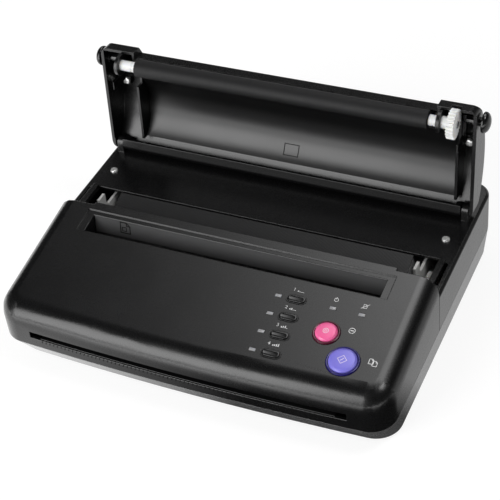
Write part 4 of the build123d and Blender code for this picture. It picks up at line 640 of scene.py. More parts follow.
class Blank:
    """A piece under construction, in millimetres, in a frame of its own."""

    def __init__(self, name: str) -> None:
        """Starts an empty piece of that name."""
        self.name = name
        self.mesh = bmesh.new()

    def close(self) -> None:
        """Merges doubles and turns every face outwards."""
        bmesh.ops.remove_doubles(self.mesh, verts=self.mesh.verts, dist=SAME_PLACE)
        bmesh.ops.recalc_face_normals(self.mesh, faces=self.mesh.faces)

    def turn(self, profile: Outline, steps: int = 48) -> None:
        """Turns an outline once round Z.

        Args:
            profile: its points, as radius and height; a ring's outline ends where it starts.
            steps: the flats round it.
        """
        verts = [self.mesh.verts.new((radius, 0.0, height)) for radius, height in profile]
        edges = [self.mesh.edges.new(pair) for pair in zip(verts, verts[1:])]
        bmesh.ops.spin(
            self.mesh, geom=verts + edges, cent=(0, 0, 0), axis=(0, 0, 1),
            angle=math.tau, steps=steps, use_merge=True,
        )
        self.close()

    def pill(self, length: float, width: float, low: float, high: float) -> bmesh.types.BMFace:
        """Raises a block with round ends.

        Args:
            length: its length along X.
            width: its width along Y.
            low: its underside.
            high: its top.

        Returns:
            The top face.
        """
        verts = self.oval(width / 2, length - width, capped=True)
        for vert in verts:
            vert.co.z = low
        return self.raise_face(verts[0].link_faces[0], high - low)

    def oval(
        self, radius: float, straight: float, capped: bool = False
    ) -> Sequence[bmesh.types.BMVert]:
        """Draws an outline with round ends.

        Args:
            radius: its ends' radius.
            straight: how long its straight sides are, along X.
            capped: whether a face fills it.

        Returns:
            Its vertices.
        """
        made = bmesh.ops.create_circle(
            self.mesh, cap_ends=capped, segments=END_SIDES, radius=radius
        )
        for vert in made["verts"]:
            if abs(vert.co.x) > ON_AXIS:
                vert.co.x += math.copysign(straight / 2, vert.co.x)
        return made["verts"]

    def raise_face(self, face: bmesh.types.BMFace, height: float) -> bmesh.types.BMFace:
        """Extrudes one face along Z and returns its copy at the far end."""
        grown = bmesh.ops.extrude_face_region(self.mesh, geom=[face])["geom"]
        bmesh.ops.translate(self.mesh, verts=verts_of(grown), vec=(0, 0, height))
        return next(part for part in grown if isinstance(part, bmesh.types.BMFace))

    def crown(self, face: bmesh.types.BMFace, steps: Outline) -> None:
        """Rounds or dishes a face by insets.

        Args:
            face: the face.
            steps: how far in, and how far out or down, each inset goes.
        """
        self.mesh.normal_update()
        for inset, rise in steps:
            bmesh.ops.inset_individual(self.mesh, faces=[face], thickness=inset, depth=rise)

    def block(self, low: Sequence[float], high: Sequence[float], ease: float = 0.0) -> None:
        """Adds a box between two corners, its edges eased."""
        size = [b - a for a, b in zip(low, high)]
        middle = [(a + b) / 2 for a, b in zip(low, high)]
        made = bmesh.ops.create_cube(
            self.mesh, size=1.0, matrix=Matrix.Translation(middle) @ Matrix.Diagonal((*size, 1.0))
        )
        if ease:
            edges = list({edge for vert in made["verts"] for edge in vert.link_edges})
            bmesh.ops.bevel(
                self.mesh, geom=edges, offset=ease, offset_type="OFFSET", segments=2,
                profile=0.5, affect="EDGES", material=-1,
            )

    def take(self, part: "Blank", frame: Matrix) -> None:
        """Joins another blank to this one.

        Args:
            part: the other blank, which is used up.
            frame: the frame that it is put through first.
        """
        part.move(part.mesh.verts, frame)
        data = bpy.data.meshes.new(part.name)
        part.mesh.to_mesh(data)
        part.mesh.free()
        self.mesh.from_mesh(data)
        bpy.data.meshes.remove(data)

    def move(self, verts: Sequence[bmesh.types.BMVert], frame: Matrix) -> None:
        """Puts vertices through a frame."""
        bmesh.ops.transform(self.mesh, matrix=frame, verts=verts)

    def fit(
        self,
        body: str,
        finish: Finish,
        frame: Matrix | None = None,
        replaces: Sequence[str] = (),
        sharp: float = 32.0,
    ) -> None:
        """Puts the finished piece in its place on the machine.

        Args:
            body: the body that it rides.
            finish: its finish.
            frame: where its own frame lies on the machine, in millimetres.
            replaces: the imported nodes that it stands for.
            sharp: the angle in degrees past which an edge stays sharp.
        """
        self.move(self.mesh.verts, Matrix.Scale(MM, 4) @ (frame or Matrix()))
        settle(show(self.name, self.mesh, finish, sharp), body, replaces)


class Marks(Blank):
    """Fine flat line work that is laid on a solid's skin and given a little thickness."""

    def bar(self, start: Sequence[float], end: Sequence[float], width: float) -> None:
        """Draws a straight line between two points."""
        a, b = Vector((*start, 0.0)), Vector((*end, 0.0))
        along = b - a
        turned = Matrix.Rotation(math.atan2(along.y, along.x), 4, "Z")
        size = Matrix.Diagonal((along.length + width, width, 1.0, 1.0))
        bmesh.ops.create_grid(
            self.mesh, x_segments=max(1, round(along.length)), y_segments=1, size=0.5,
            matrix=Matrix.Translation((a + b) / 2) @ turned @ size,
        )

    def outline(self, points: Sequence[Sequence[float]], width: float) -> None:
        """Draws a closed line through points."""
        for start, end in zip(points, [*points[1:], points[0]]):
            self.bar(start, end, width)

    def ring(
        self,
        centre: Sequence[float],
        radius: float,
        width: float,
        sides: int = 32,
        turn: float = 0.0,
    ) -> None:
        """Draws a round or many-sided ring.

        Args:
            centre: its centre.
            radius: out to the middle of its line.
            width: its line's width.
            sides: its sides.
            turn: how far it is turned, in degrees.
        """
        edges = []
        place = Matrix.Translation((*centre, 0.0)) @ Matrix.Rotation(math.radians(turn), 4, "Z")
        for reach in (radius - width / 2, radius + width / 2):
            made = bmesh.ops.create_circle(self.mesh, segments=sides, radius=reach, matrix=place)
            edges += list({edge for vert in made["verts"] for edge in vert.link_edges})
        bmesh.ops.bridge_loops(self.mesh, edges=edges)

    def number(self, value: int, centre: Sequence[float], height: float) -> None:
        """Writes a plain number."""
        curve = bpy.data.curves.new("number", "FONT")
        curve.body = str(value)
        curve.size = height * 1.4
        curve.align_x = "CENTER"
        curve.align_y = "CENTER"
        curve.resolution_u = 3
        holder = bpy.data.objects.new("number", curve)
        flat = bpy.data.meshes.new_from_object(holder)
        figure = Blank("figure")
        figure.mesh.from_mesh(flat)
        self.take(figure, Matrix.Translation((*centre, 0.0)))
        bpy.data.objects.remove(holder)
        bpy.data.curves.remove(curve)
        bpy.data.meshes.remove(flat)

    def page(self, centre: Sequence[float], width: float, height: float, line: float) -> None:
        """Draws a page with one corner folded."""
        x, y = centre
        left, right = x - width / 2, x + width / 2
        low, high = y - height / 2, y + height / 2
        fold = width * 0.35
        corner = [(right - fold, high), (right, high - fold)]
        self.outline([(left, low), (left, high), *corner, (right, low)], line)
        self.bar((right - fold, high), (right - fold, high - fold), line)
        self.bar((right - fold, high - fold), (right, high - fold), line)

    def lay(self, frame: Matrix, skin: Skin, along: Sequence[float], lift: float) -> None:
        """Lays the drawing on a skin.

        Args:
            frame: the drawing's frame on the machine, in millimetres.
            skin: the surface that it lies on.
            along: the way it is pressed on.
            lift: how far it stands off, in millimetres.
        """
        press = Vector(along).normalized()
        for vert in self.mesh.verts:
            start = frame @ vert.co - press * PRESS_FROM
            met = skin.under(start * MM, press) / MM
            vert.co = met - press * lift

    def thicken(self, depth: float) -> None:
        """Gives the line work its thickness."""
        bmesh.ops.recalc_face_normals(self.mesh, faces=self.mesh.faces)
        bmesh.ops.solidify(self.mesh, geom=list(self.mesh.faces), thickness=depth)
        bmesh.ops.recalc_face_normals(self.mesh, faces=self.mesh.faces)


# --- the machine ----------------------------------------------------------------------------------


@dataclass
class Machine:
    """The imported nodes, the body that each is part of, and the places shared by its pieces."""

    nodes: dict[str, bpy.types.Object]
    bodies: dict[str, list[str]]
    front: float = -113.0
    panel_height: float = 51.1
    panel_slope: float = 9.54
    open_angle: float = -94.8

    def body_of(self, node: str) -> str:
        """The body that a node is part of."""
        return next(body for body, names in self.bodies.items() if node in names)

    def on_panel(self, x: float, place: float) -> Matrix:
        """The frame of a spot on the panel.

        Args:
            x: how far right of the middle, in millimetres.
            place: how far behind the front-most line.

        Returns:
            A frame whose Z stands square to the panel.
        """
        slope = math.radians(self.panel_slope)
        height = self.panel_height + place * math.tan(slope)
        spot = Matrix.Translation((x, self.front + place, height))
        return spot @ Matrix.Rotation(slope, 4, "X")

    def middle_of(self, node: str) -> tuple[float, float]:
        """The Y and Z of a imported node's middle, in millimetres."""
        low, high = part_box(node)
        return (low.y + high.y) / 2 / MM, (low.z + high.z) / 2 / MM


@dataclass
class Castings:
    """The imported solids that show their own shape, with rounded bands smoothed and edges eased."""

    machine: Machine
    eases: dict[float, tuple[str, ...]] = field(
        default_factory=lambda: {
            0.35: ("base_pan", "front_cover", "rear_cover"),
            0.25: (
                "cover_shell", "cover_inner_sheet", "roller_bracket_left", "roller_bracket_right",
                "feed_chute", "latch_hook_left", "latch_hook_right", "power_inlet",
                "switch_frame", "power_rocker", "rubber_feet", "thermal_head",
            ),
            0.15: (
                "side_frame_left", "side_frame_right", "heat_sink", "platen_gear", "drive_gear",
                "feed_gear", "large_idler_gear", "front_idler_gear", "rear_idler_gear",
                "motor_pinion", "platen_roller", "feed_roller", "stepper_motor", "platen_shaft",
            ),
        }
    )
    sharp: float = 32.0
    merge: float = 0.000002
    flat: float = 0.3
    flat_weight: int = 100

    def cast(self, node: str, finish: Finish, ease: float) -> None:
        """Makes one piece from a node's own mesh.

        Args:
            node: the node.
            finish: its finish.
            ease: how far its edges are eased, in millimetres.
        """
        mesh = bmesh.new()
        mesh.from_mesh(self.machine.nodes[node].data)
        bmesh.ops.remove_doubles(mesh, verts=mesh.verts, dist=self.merge)
        bmesh.ops.dissolve_limit(
            mesh, angle_limit=math.radians(self.flat), verts=mesh.verts, edges=mesh.edges
        )
        piece = show(f"{node}_finished", mesh, finish, self.sharp)
        eased = piece.modifiers.new("eased", "BEVEL")
        eased.width = ease * MM
        eased.segments = 2
        eased.limit_method = "ANGLE"
        eased.angle_limit = math.radians(self.sharp)
        eased.harden_normals = True
        eased.use_clamp_overlap = False
        flats = piece.modifiers.new("flats", "WEIGHTED_NORMAL")
        flats.weight = self.flat_weight
        flats.keep_sharp = True
        settle(piece, self.machine.body_of(node), (node,))

    def make(self, finishes: dict[str, Finish]) -> None:
        """Makes every casting."""
        for ease, names in self.eases.items():
            for node in names:
                self.cast(node, finishes[node], ease)


@dataclass
class Panel:
    """The keys, rings, lamps and line work of the sloping panel."""

    machine: Machine
    pill_x: float = 58.0
    pill_first: float = 19.4
    pill_pitch: float = 14.75
    pill_count: int = 4
    pill_size: tuple[float, float] = (12.0, 5.0)
    pill_rise: float = 1.2
    rim_width: float = 0.9
    rim_rise: float = 0.3
    rim_sink: float = 1.2
    wall: float = 2.2
    gap: float = 0.3
    lamp_x: float = 45.3
    lamp_size: tuple[float, float] = (4.2, 2.2)
    lamp_rise: float = 0.2
    status_lamps: tuple[tuple[float, float], ...] = ((83.3, 63.6), (103.0, 63.6))
    stop: Spot = (86.3, 44.2, 14.6)
    start: Spot = (104.0, 26.6, 18.4)
    round_rise: float = 3.0
    shoulder: float = 0.86
    dome: float = 0.42
    bezel_width: float = 1.7
    bezel_rise: float = 1.1
    line: float = 0.34
    pill_edge: float = 0.4
    pill_steps: Outline = (
        (0.05, 0.2), (0.13, 0.13), (0.2, 0.07), (0.45, 0.0), (0.15, -0.12), (0.5, -0.08),
    )
    level_shift: tuple[float, float] = (-1.5, 7.4)
    figure_x: float = -2.6
    figure_height: float = 2.4
    step_first: float = 0.2
    step_pitch: float = 1.25
    step_low: float = -0.9
    step_high: float = -0.55
    step_rise: float = 0.45
    step_width: float = 0.6
    power_place: tuple[float, float] = (83.2, 70.4)
    jam_place: tuple[float, float] = (103.0, 70.4)
    stop_place: tuple[float, float] = (101.4, 50.2)
    copies_place: tuple[float, float] = (122.3, 31.0)
    lift: float = 0.05

    def pill_places(self) -> list[tuple[float, float]]:
        """Where the pill keys stand."""
        return [(self.pill_x, self.pill_first + self.pill_pitch * i) for i in range(self.pill_count)]

    def pill_key(self, number: int, x: float, place: float) -> None:
        """Makes one pill key, with a rounded rim round a shallow dish."""
        key = Blank(f"pill_key_cap_{number}")
        length, width = self.pill_size
        low, high = -self.wall - self.gap, self.pill_rise - self.pill_edge
        key.crown(key.pill(length, width, low, high), self.pill_steps)
        key.close()
        key.fit(
            f"pill_key_{number}", Finish.KEY, self.machine.on_panel(x, place),
            (f"pill_button_{number}",),
        )

    def pill_rims(self) -> None:
        """Makes the four dark rims that the pill keys slide in."""
        rims = Blank("pill_key_rims")
        length, width = self.pill_size
        for x, place in self.pill_places():
            rim, loops = Blank("rim"), []
            for grow in (2 * self.rim_width, 2 * self.gap):
                verts = rim.oval((width + grow) / 2, length - width)
                loops += list({edge for vert in verts for edge in vert.link_edges})
            faces = bmesh.ops.bridge_loops(rim.mesh, edges=loops)["faces"]
            grown = verts_of(bmesh.ops.extrude_face_region(rim.mesh, geom=faces)["geom"])
            bmesh.ops.translate(rim.mesh, verts=grown, vec=(0, 0, self.rim_rise + self.rim_sink))
            sunk = Matrix.Translation((0, 0, -self.rim_sink))
            rims.take(rim, self.machine.on_panel(x, place) @ sunk)
        rims.close()
        rims.fit("case", Finish.KEY, replaces=("pill_rims",))

    def round_key(self, name: str, body: str, node: str, finish: Finish, spot: Spot) -> None:
        """Makes a large round key: a skirt, a rolled shoulder and a gently domed top.

        Args:
            name: the piece's name.
            body: the body that it rides.
            node: the node that it stands for.
            finish: its finish.
            spot: its X, its place and its diameter.
        """
        x, place, diameter = spot
        radius, rise = diameter / 2, self.round_rise
        shoulder, low = radius * self.shoulder, -self.wall - self.gap
        profile = [(0.0, low), (radius, low), (radius, rise - 1.75), (radius - 0.1, rise - 1.45)]
        profile += [(radius * 0.965, rise - 1.22), (radius * 0.93, rise - 1.05)]
        profile += [(shoulder + 0.12, rise - 0.62), (shoulder - 0.12, rise - 0.5)]
        shares = (0.9, 0.75, 0.55, 0.3, 0.0)
        profile += [(shoulder * share, rise - self.dome * share ** 2) for share in shares]
        key = Blank(name)
        key.turn(profile, 64)
        key.fit(body, finish, self.machine.on_panel(x, place), (node,))

    def bezel(self, name: str, node: str, finish: Finish, spot: Spot) -> None:
        """Makes the dark ring round a large key."""
        x, place, diameter = spot
        outer, inner, top = diameter / 2 + self.bezel_width, diameter / 2 + self.gap, self.bezel_rise
        profile = [
            (inner, -self.wall), (outer, -self.wall), (outer, top - 0.55),
            (outer - 0.12, top - 0.25), (outer - 0.4, top - 0.05), (outer - 0.65, top),
            (inner + 0.25, top - 0.1),
            (inner + 0.06, top - 0.25), (inner, top - 0.5), (inner, -self.wall),
        ]
        ring = Blank(name)
        ring.turn(profile, 64)
        ring.fit("case", finish, self.machine.on_panel(x, place), (node,))

    def lamps(self) -> None:
        """Makes the six small lamp windows."""
        lenses = Blank("lamp_windows")
        length, width = self.lamp_size
        spots = [(self.lamp_x, place) for _, place in self.pill_places()] + list(self.status_lamps)
        for x, place in spots:
            lens = Blank("lens")
            low = (-length / 2, -width / 2, -self.wall)
            lens.block(low, (length / 2, width / 2, self.lamp_rise), ease=0.15)
            lenses.take(lens, self.machine.on_panel(x, place))
        lenses.fit("case", Finish.LAMP, replaces=("lamp_lenses",))

    def print(self) -> None:
        """Prints the plain numbers and symbols beside the keys and lamps."""
        ink = Marks("panel_print")
        skin = Skin(self.machine.nodes["front_cover"])
        down = self.machine.on_panel(0, 0).to_3x3() @ Vector((0, 0, -1))

        def lay(mark: Marks, x: float, place: float) -> None:
            mark.lay(self.machine.on_panel(x, place), skin, down, self.lift)
            ink.take(mark, Matrix())

        for number, (x, place) in enumerate(reversed(self.pill_places()), start=1):
            level = Marks("level")
            level.number(number, (self.figure_x, 0.0), self.figure_height)
            for step in range(self.pill_count):
                x_step = self.step_first + self.step_pitch * step
                if step < number:
                    high = self.step_high + self.step_rise * step
                    level.bar((x_step, self.step_low), (x_step, high), self.step_width)
                level.bar((x_step - 0.3, -1.1), (x_step + 0.3, -1.1), self.line)
            lay(level, x + self.level_shift[0], place + self.level_shift[1])
        power = Marks("power")
        power.ring((0.0, 0.0), 1.35, self.line)
        power.bar((0.0, 0.5), (0.0, 2.0), self.line)
        lay(power, *self.power_place)
        jam = Marks("jam")
        jam.page((0.0, 0.0), 2.4, 3.0, self.line)
        jam.bar((-2.2, -1.9), (2.2, 1.9), self.line)
        lay(jam, *self.jam_place)
        stop = Marks("stop")
        stop.ring((0.0, 0.0), 2.1, 0.45, sides=8, turn=22.5)
        stop.bar((-0.8, 0.0), (0.8, 0.0), 0.6)
        lay(stop, *self.stop_place)
        copies = Marks("copies")
        for centre in ((-1.2, 0.5), (1.4, -0.6)):
            copies.page(centre, 3.0, 3.8, 0.42)
        lay(copies, *self.copies_place)
        ink.thicken(0.04)
        ink.fit("case", Finish.INK)

    def key_symbol(self, name: str, body: str, spot: Spot, draw: Callable[[Marks], None]) -> None:
        """Prints a symbol on a round key's domed top.

        Args:
            name: the symbol's name.
            body: the body that it rides.
            spot: the key's X, place and diameter.
            draw: draws the symbol flat.
        """
        x, place, diameter = spot
        reach = diameter / 2 * self.shoulder
        mark = Marks(name)
        draw(mark)
        for vert in mark.mesh.verts:
            share = min(1.0, vert.co.to_2d().length / reach)
            vert.co.z = self.round_rise - self.dome * share ** 2 + self.lift
        mark.thicken(0.05)
        mark.fit(body, Finish.SIGN, self.machine.on_panel(x, place))

    def make(self) -> None:
        """Makes everything on the panel."""
        for number, (x, place) in enumerate(self.pill_places(), start=1):
            self.pill_key(number, x, place)
        self.pill_rims()
        self.round_key("stop_key_cap", "stop_key", "stop_button", Finish.PINK, self.stop)
        self.round_key("start_key_cap", "start_key", "start_button", Finish.VIOLET, self.start)
        self.bezel("stop_ring", "stop_bezel", Finish.MAROON, self.stop)
        self.bezel("start_ring", "start_bezel", Finish.NAVY, self.start)
        self.lamps()
        self.print()

        def stop_sign(mark: Marks) -> None:
            mark.ring((0.0, -0.3), 1.75, 0.32)
            mark.ring((0.0, -0.3), 0.85, 0.32, sides=4, turn=45.0)

        def start_sign(mark: Marks) -> None:
            mark.ring((0.0, -0.4), 3.1, 0.42, sides=4)
            mark.bar((-0.75, -1.3), (0.75, 0.5), 0.4)

        self.key_symbol("stop_key_sign", "stop_key", self.stop, stop_sign)
        self.key_symbol("start_key_sign", "start_key", self.start, start_sign)


@dataclass
class Fasteners:
    """The bright pan-head screws with their cross recesses."""

    machine: Machine
    radius: float = 2.8
    height: float = 1.7
    shank: float = 1.4
    deck: Spot = (128.1, 45.0, 54.0)
    deck_length: float = 8.0
    cover_length: float = 3.5
    lines: tuple[float, ...] = (-1.9, -1.5, -0.95, -0.36, 0.0, 0.36, 0.95, 1.5, 1.9)
    dome: float = 0.035
    rounds: Outline = ((2.3, 1.45), (2.62, 1.15), (2.78, 0.75), (2.8, 0.3), (2.8, 0.0))
    cross_half: float = 0.36
    cross_reach: float = 1.5
    cross_depth: float = 0.9
    cross_taper: float = 0.82

    def screw(self, length: float) -> Blank:
        """Makes one screw, its head's underside at the origin and its head along Z.

        Args:
            length: its shank's length.

        Returns:
            The screw.
        """
        screw = Blank("screw")
        mesh = screw.mesh
        cells = len(self.lines) - 1
        made = bmesh.ops.create_grid(mesh, x_segments=cells, y_segments=cells, size=1.0)
        for vert in made["verts"]:
            x, y = (self.lines[round((value + 1) / 2 * cells)] for value in vert.co.xy)
            vert.co = (x, y, self.height - self.dome * (x * x + y * y))
        mesh.normal_update()
        top = list({face for vert in made["verts"] for face in vert.link_faces})
        rim = [edge for edge in {e for v in made["verts"] for e in v.link_edges} if edge.is_boundary]
        ends = ((self.shank, 0.0), (self.shank, -length), (0.02, -length))
        for reach, level in (*self.rounds, *ends):
            grown = bmesh.ops.extrude_edge_only(mesh, edges=rim)["geom"]
            for vert in verts_of(grown):
                flat = vert.co.to_2d().normalized() * reach
                vert.co = (*flat, level)
            rim = [part for part in grown if isinstance(part, bmesh.types.BMEdge)]
        bmesh.ops.holes_fill(mesh, edges=rim, sides=64)
        cross = []
        for face in top:
            near, far = sorted(abs(value) for value in face.calc_center_median().xy)
            if near < self.cross_half and far < self.cross_reach:
                cross.append(face)
        floor = verts_of(bmesh.ops.extrude_face_region(mesh, geom=cross)["geom"])
        bmesh.ops.delete(mesh, geom=[face for face in cross if face.is_valid], context="FACES")
        bmesh.ops.translate(mesh, verts=floor, vec=(0, 0, -self.cross_depth))
        bmesh.ops.scale(mesh, verts=floor, vec=(self.cross_taper, self.cross_taper, 1.0))
        screw.close()
        return screw

    def make(self) -> None:
        """Makes the two deck screws and the two cover screws."""
        deck = Blank("deck_screw_pair")
        x, y, seat = self.deck
        for side in (-1, 1):
            deck.take(self.screw(self.deck_length), Matrix.Translation((side * x, y, seat)))
        deck.fit("case", Finish.SCREW, replaces=("deck_screws",), sharp=40)
        cover = Blank("cover_screw_pair")
        lean = Matrix.Rotation(math.radians(self.machine.open_angle), 4, "X")
        way = lean @ Matrix.Rotation(math.pi, 4, "X")
        up = way.to_3x3() @ Vector((0, 0, 1))
        shift = (self.cover_length - self.height) / 2
        seat_point = Vector((0, *self.machine.middle_of("cover_screws"))) + up * shift
        side_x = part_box("cover_screws")[1].x / MM - self.radius
        for side in (-1, 1):
            place = Matrix.Translation((side * side_x, seat_point.y, seat_point.z))
            cover.take(self.screw(self.cover_length), place @ way)
        cover.fit("cover", Finish.SCREW, replaces=("cover_screws",), sharp=40)


@dataclass
class Releases:
    """The two domed buttons in the cover's cheeks."""

    machine: Machine
    radius: float = 7.175
    skirt_x: float = 142.1
    stem: float = 2.9
    collar: float = 4.1
    collar_span: tuple[float, float] = (135.9, 137.4)
    skirt: float = 1.2
    ease: float = 0.3
    steps: int = 8

    def make(self) -> None:
        """Makes both buttons, each a dome, its stem and the collar that keeps it in."""
        for side, name in ((-1, "left"), (1, "right")):
            node = f"release_button_{name}"
            low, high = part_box(node)
            inner = min(abs(low.x), abs(high.x)) / MM
            outer = max(abs(low.x), abs(high.x)) / MM
            base, rim = self.skirt_x, self.skirt_x + self.skirt
            start, end = self.collar_span
            profile = [(0.0, inner), (self.stem, inner), (self.stem, start), (self.collar, start)]
            profile += [(self.collar, end), (self.stem, end), (self.stem, base)]
            profile += [(self.radius - self.ease, base), (self.radius, base + self.ease)]
            for step in range(self.steps + 1):
                angle = math.pi / 2 * step / self.steps
                reach, rise = self.radius * math.cos(angle), (outer - rim) * math.sin(angle)
                profile.append((reach, rim + rise))
            button = Blank(f"{node}_cap")
            button.turn(profile, 48)
            middle = Matrix.Translation((0, *self.machine.middle_of(node)))
            frame = middle @ Matrix.Rotation(side * math.pi / 2, 4, "Y")
            button.fit(f"release_{name}", Finish.KEY, frame, (node,), sharp=50)


@dataclass
class Bushes:
    """The white bushes that carry the platen's shaft."""

    machine: Machine
    radius: float = 3.78
    bore: float = 2.6
    spans: Outline = ((-123.6, -109.0), (109.0, 117.5))
    collar: float = 2.6
    groove: float = 0.35
    ease: float = 0.25

    def make(self) -> None:
        """Makes both bushes, each with a shallow groove behind its collar."""
        bushes = Blank("shaft_bushes")
        middle = Matrix.Translation((0, *self.machine.middle_of("platen_shaft")))
        full, waist, ease = self.radius, self.radius - self.groove, self.ease
        for start, end in self.spans:
            near, far = (start, end) if start > 0 else (-end, -start)
            groove = near + self.collar
            profile = [(self.bore, near), (full - ease, near), (full, near + ease), (full, groove)]
            profile += [(waist, groove + 0.1), (waist, groove + 0.7), (full, groove + 0.8)]
            profile += [(full, far - ease), (full - ease, far), (self.bore, far), (self.bore, near)]
            bush = Blank("bush")
            bush.turn(profile, 48)
            bushes.take(bush, middle @ Matrix.Rotation(math.copysign(math.pi / 2, start), 4, "Y"))
        bushes.fit("cover", Finish.NYLON, replaces=("roller_bushes",), sharp=40)


@dataclass
class SmallMarks:
    """The throat's lining, the page sign on it, the square in the cover and the slot's teeth."""

    machine: Machine
    lining_size: tuple[float, float] = (216.8, 13.0)
    lining_place: Spot = (0.0, -24.0, 59.1)
    page_size: tuple[float, float] = (7.4, 8.4)
    page_line: float = 0.8
    page_place: Spot = (-84.5, -24.0, 60.6)
    page_square: Outline = ((-2.3, -2.7), (0.8, -2.7), (0.8, 0.3), (-2.3, 0.3))
    square: Outline = ((-5.5, -3.4), (5.5, -3.4), (5.5, 3.4), (-5.5, 3.4))
    square_line: float = 0.45
    square_place: Spot = (0.6, 70.0, 75.0)
    tooth_pitch: float = 3.0
    tooth_count: int = 71
    tooth_width: float = 0.8
    tooth_span: tuple[float, float] = (-1.75, -0.55)
    tooth_lean: float = 0.5
    tooth_place: Spot = (0.0, -120.0, 30.1)

    def press(
        self, mark: Marks, node: str, place: Spot, finish: Finish, lift: float, depth: float
    ) -> None:
        """Presses a mark onto a node's skin from the front and gives it its thickness.

        Args:
            mark: the mark.
            node: the node, whose body the mark rides.
            place: where the mark's middle is, in millimetres.
            finish: its finish.
            lift: how far it stands off the skin, in millimetres.
            depth: its thickness.
        """
        mark.lay(facing(*place), Skin(self.machine.nodes[node]), (0, 1, 0), lift)
        mark.thicken(depth)
        mark.fit(self.machine.body_of(node), finish)

    def throat_lining(self) -> None:
        """Gives the throat's rear wall the dull texture that a sheet slides on, in a paler grey that
        also paints in part of the wall's sheen.
        """
        lining = Marks("throat_lining")
        length, width = self.lining_size
        reach = (length - width) / 2
        lining.bar((-reach, 0.0), (reach, 0.0), width)
        # The dullness is real texture; the paler grey is partly painted sheen.
        self.press(lining, "front_cover", self.lining_place, Finish.LINING, 0.02, 0.02)

    def page_sign(self) -> None:
        """Moulds a page sign on the throat's rear wall."""
        sign = Marks("throat_page_sign")
        sign.page((0.0, 0.0), *self.page_size, self.page_line)
        sign.outline(self.page_square, 0.6)
        self.press(sign, "front_cover", self.page_place, Finish.DEEP, 0.05, 0.3)

    def cover_square(self) -> None:
        """Moulds the small square on the cover's inner sheet."""
        square = Marks("cover_square")
        square.outline(self.square, self.square_line)
        self.press(square, "cover_inner_sheet", self.square_place, Finish.DEEP, 0.05, 0.25)

    def teeth(self) -> None:
        """Moulds the short ribs under the exit slot's lower lip."""
        teeth = Marks("slot_teeth")
        half = self.tooth_pitch * (self.tooth_count - 1) / 2
        low, high = self.tooth_span
        for index in range(self.tooth_count):
            x = -half + self.tooth_pitch * index
            teeth.bar((x, low), (x + self.tooth_lean, high), self.tooth_width)
        self.press(teeth, "front_cover", self.tooth_place, Finish.DEEP, 0.02, 0.08)

    def make(self) -> None:
        """Makes all the marks."""
        self.throat_lining()
        self.page_sign()
        self.cover_square()
        self.teeth()


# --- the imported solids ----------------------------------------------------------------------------


@dataclass
class Solids:
    """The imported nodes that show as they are, and their finishes."""

    nodes: dict[str, bpy.types.Object]
    coats: dict[Finish, tuple[str, ...]] = field(
        default_factory=lambda: {
            Finish.BASE: ("base_pan",),
            Finish.FOOT: ("rubber_feet",),
            Finish.CASE: ("front_cover", "rear_cover"),
            Finish.COVER: ("cover_shell",),
            Finish.STEEL: (
                "deck_screws", "case_screws", "cover_screws", "hinge_pins", "platen_shaft",
                "feed_shaft", "motor_shaft", "gear_studs",
            ),
            Finish.KEY: (
                "pill_rims", "pill_button_1", "pill_button_2", "pill_button_3", "pill_button_4",
                "release_button_left", "release_button_right", "latch_hook_left",
                "latch_hook_right", "power_rocker",
            ),
            Finish.MAROON: ("stop_bezel",),
            Finish.NAVY: ("start_bezel",),
            Finish.PINK: ("stop_button",),
            Finish.VIOLET: ("start_button",),
            Finish.LAMP: ("lamp_lenses",),
            Finish.BOARD: ("control_board", "main_board", "power_board"),
            Finish.SWITCH: ("key_switches", "power_inlet", "switch_frame"),
            Finish.PALE: ("side_frame_left", "side_frame_right"),
            Finish.ZINC: ("head_bracket", "head_springs"),
            Finish.HEAD: ("thermal_head",),
            Finish.ALUMINIUM: ("heat_sink",),
            Finish.INNER: (
                "feed_chute", "cover_inner_sheet", "scanner_bar", "roller_bracket_left",
                "roller_bracket_right",
            ),
            Finish.GLASS: ("scanner_glass",),
            Finish.MOTOR: ("stepper_motor",),
            Finish.NYLON: (
                "roller_bushes", "platen_gear", "feed_gear", "large_idler_gear",
                "front_idler_gear", "drive_gear", "rear_idler_gear", "motor_pinion",
            ),
            Finish.RUBBER: ("platen_roller", "feed_roller"),
        }
    )

    def finishes(self) -> dict[str, Finish]:
        """Each node's finish."""
        return {name: finish for finish, names in self.coats.items() for name in names}

    def dress(self) -> None:
        """Gives every node its finish."""
        for finish, names in self.coats.items():
            for name in names:
                coat(self.nodes[name], finish)
                LOG.info("node %s: %s", name, finish.name)


# --- studio ---------------------------------------------------------------------------------------


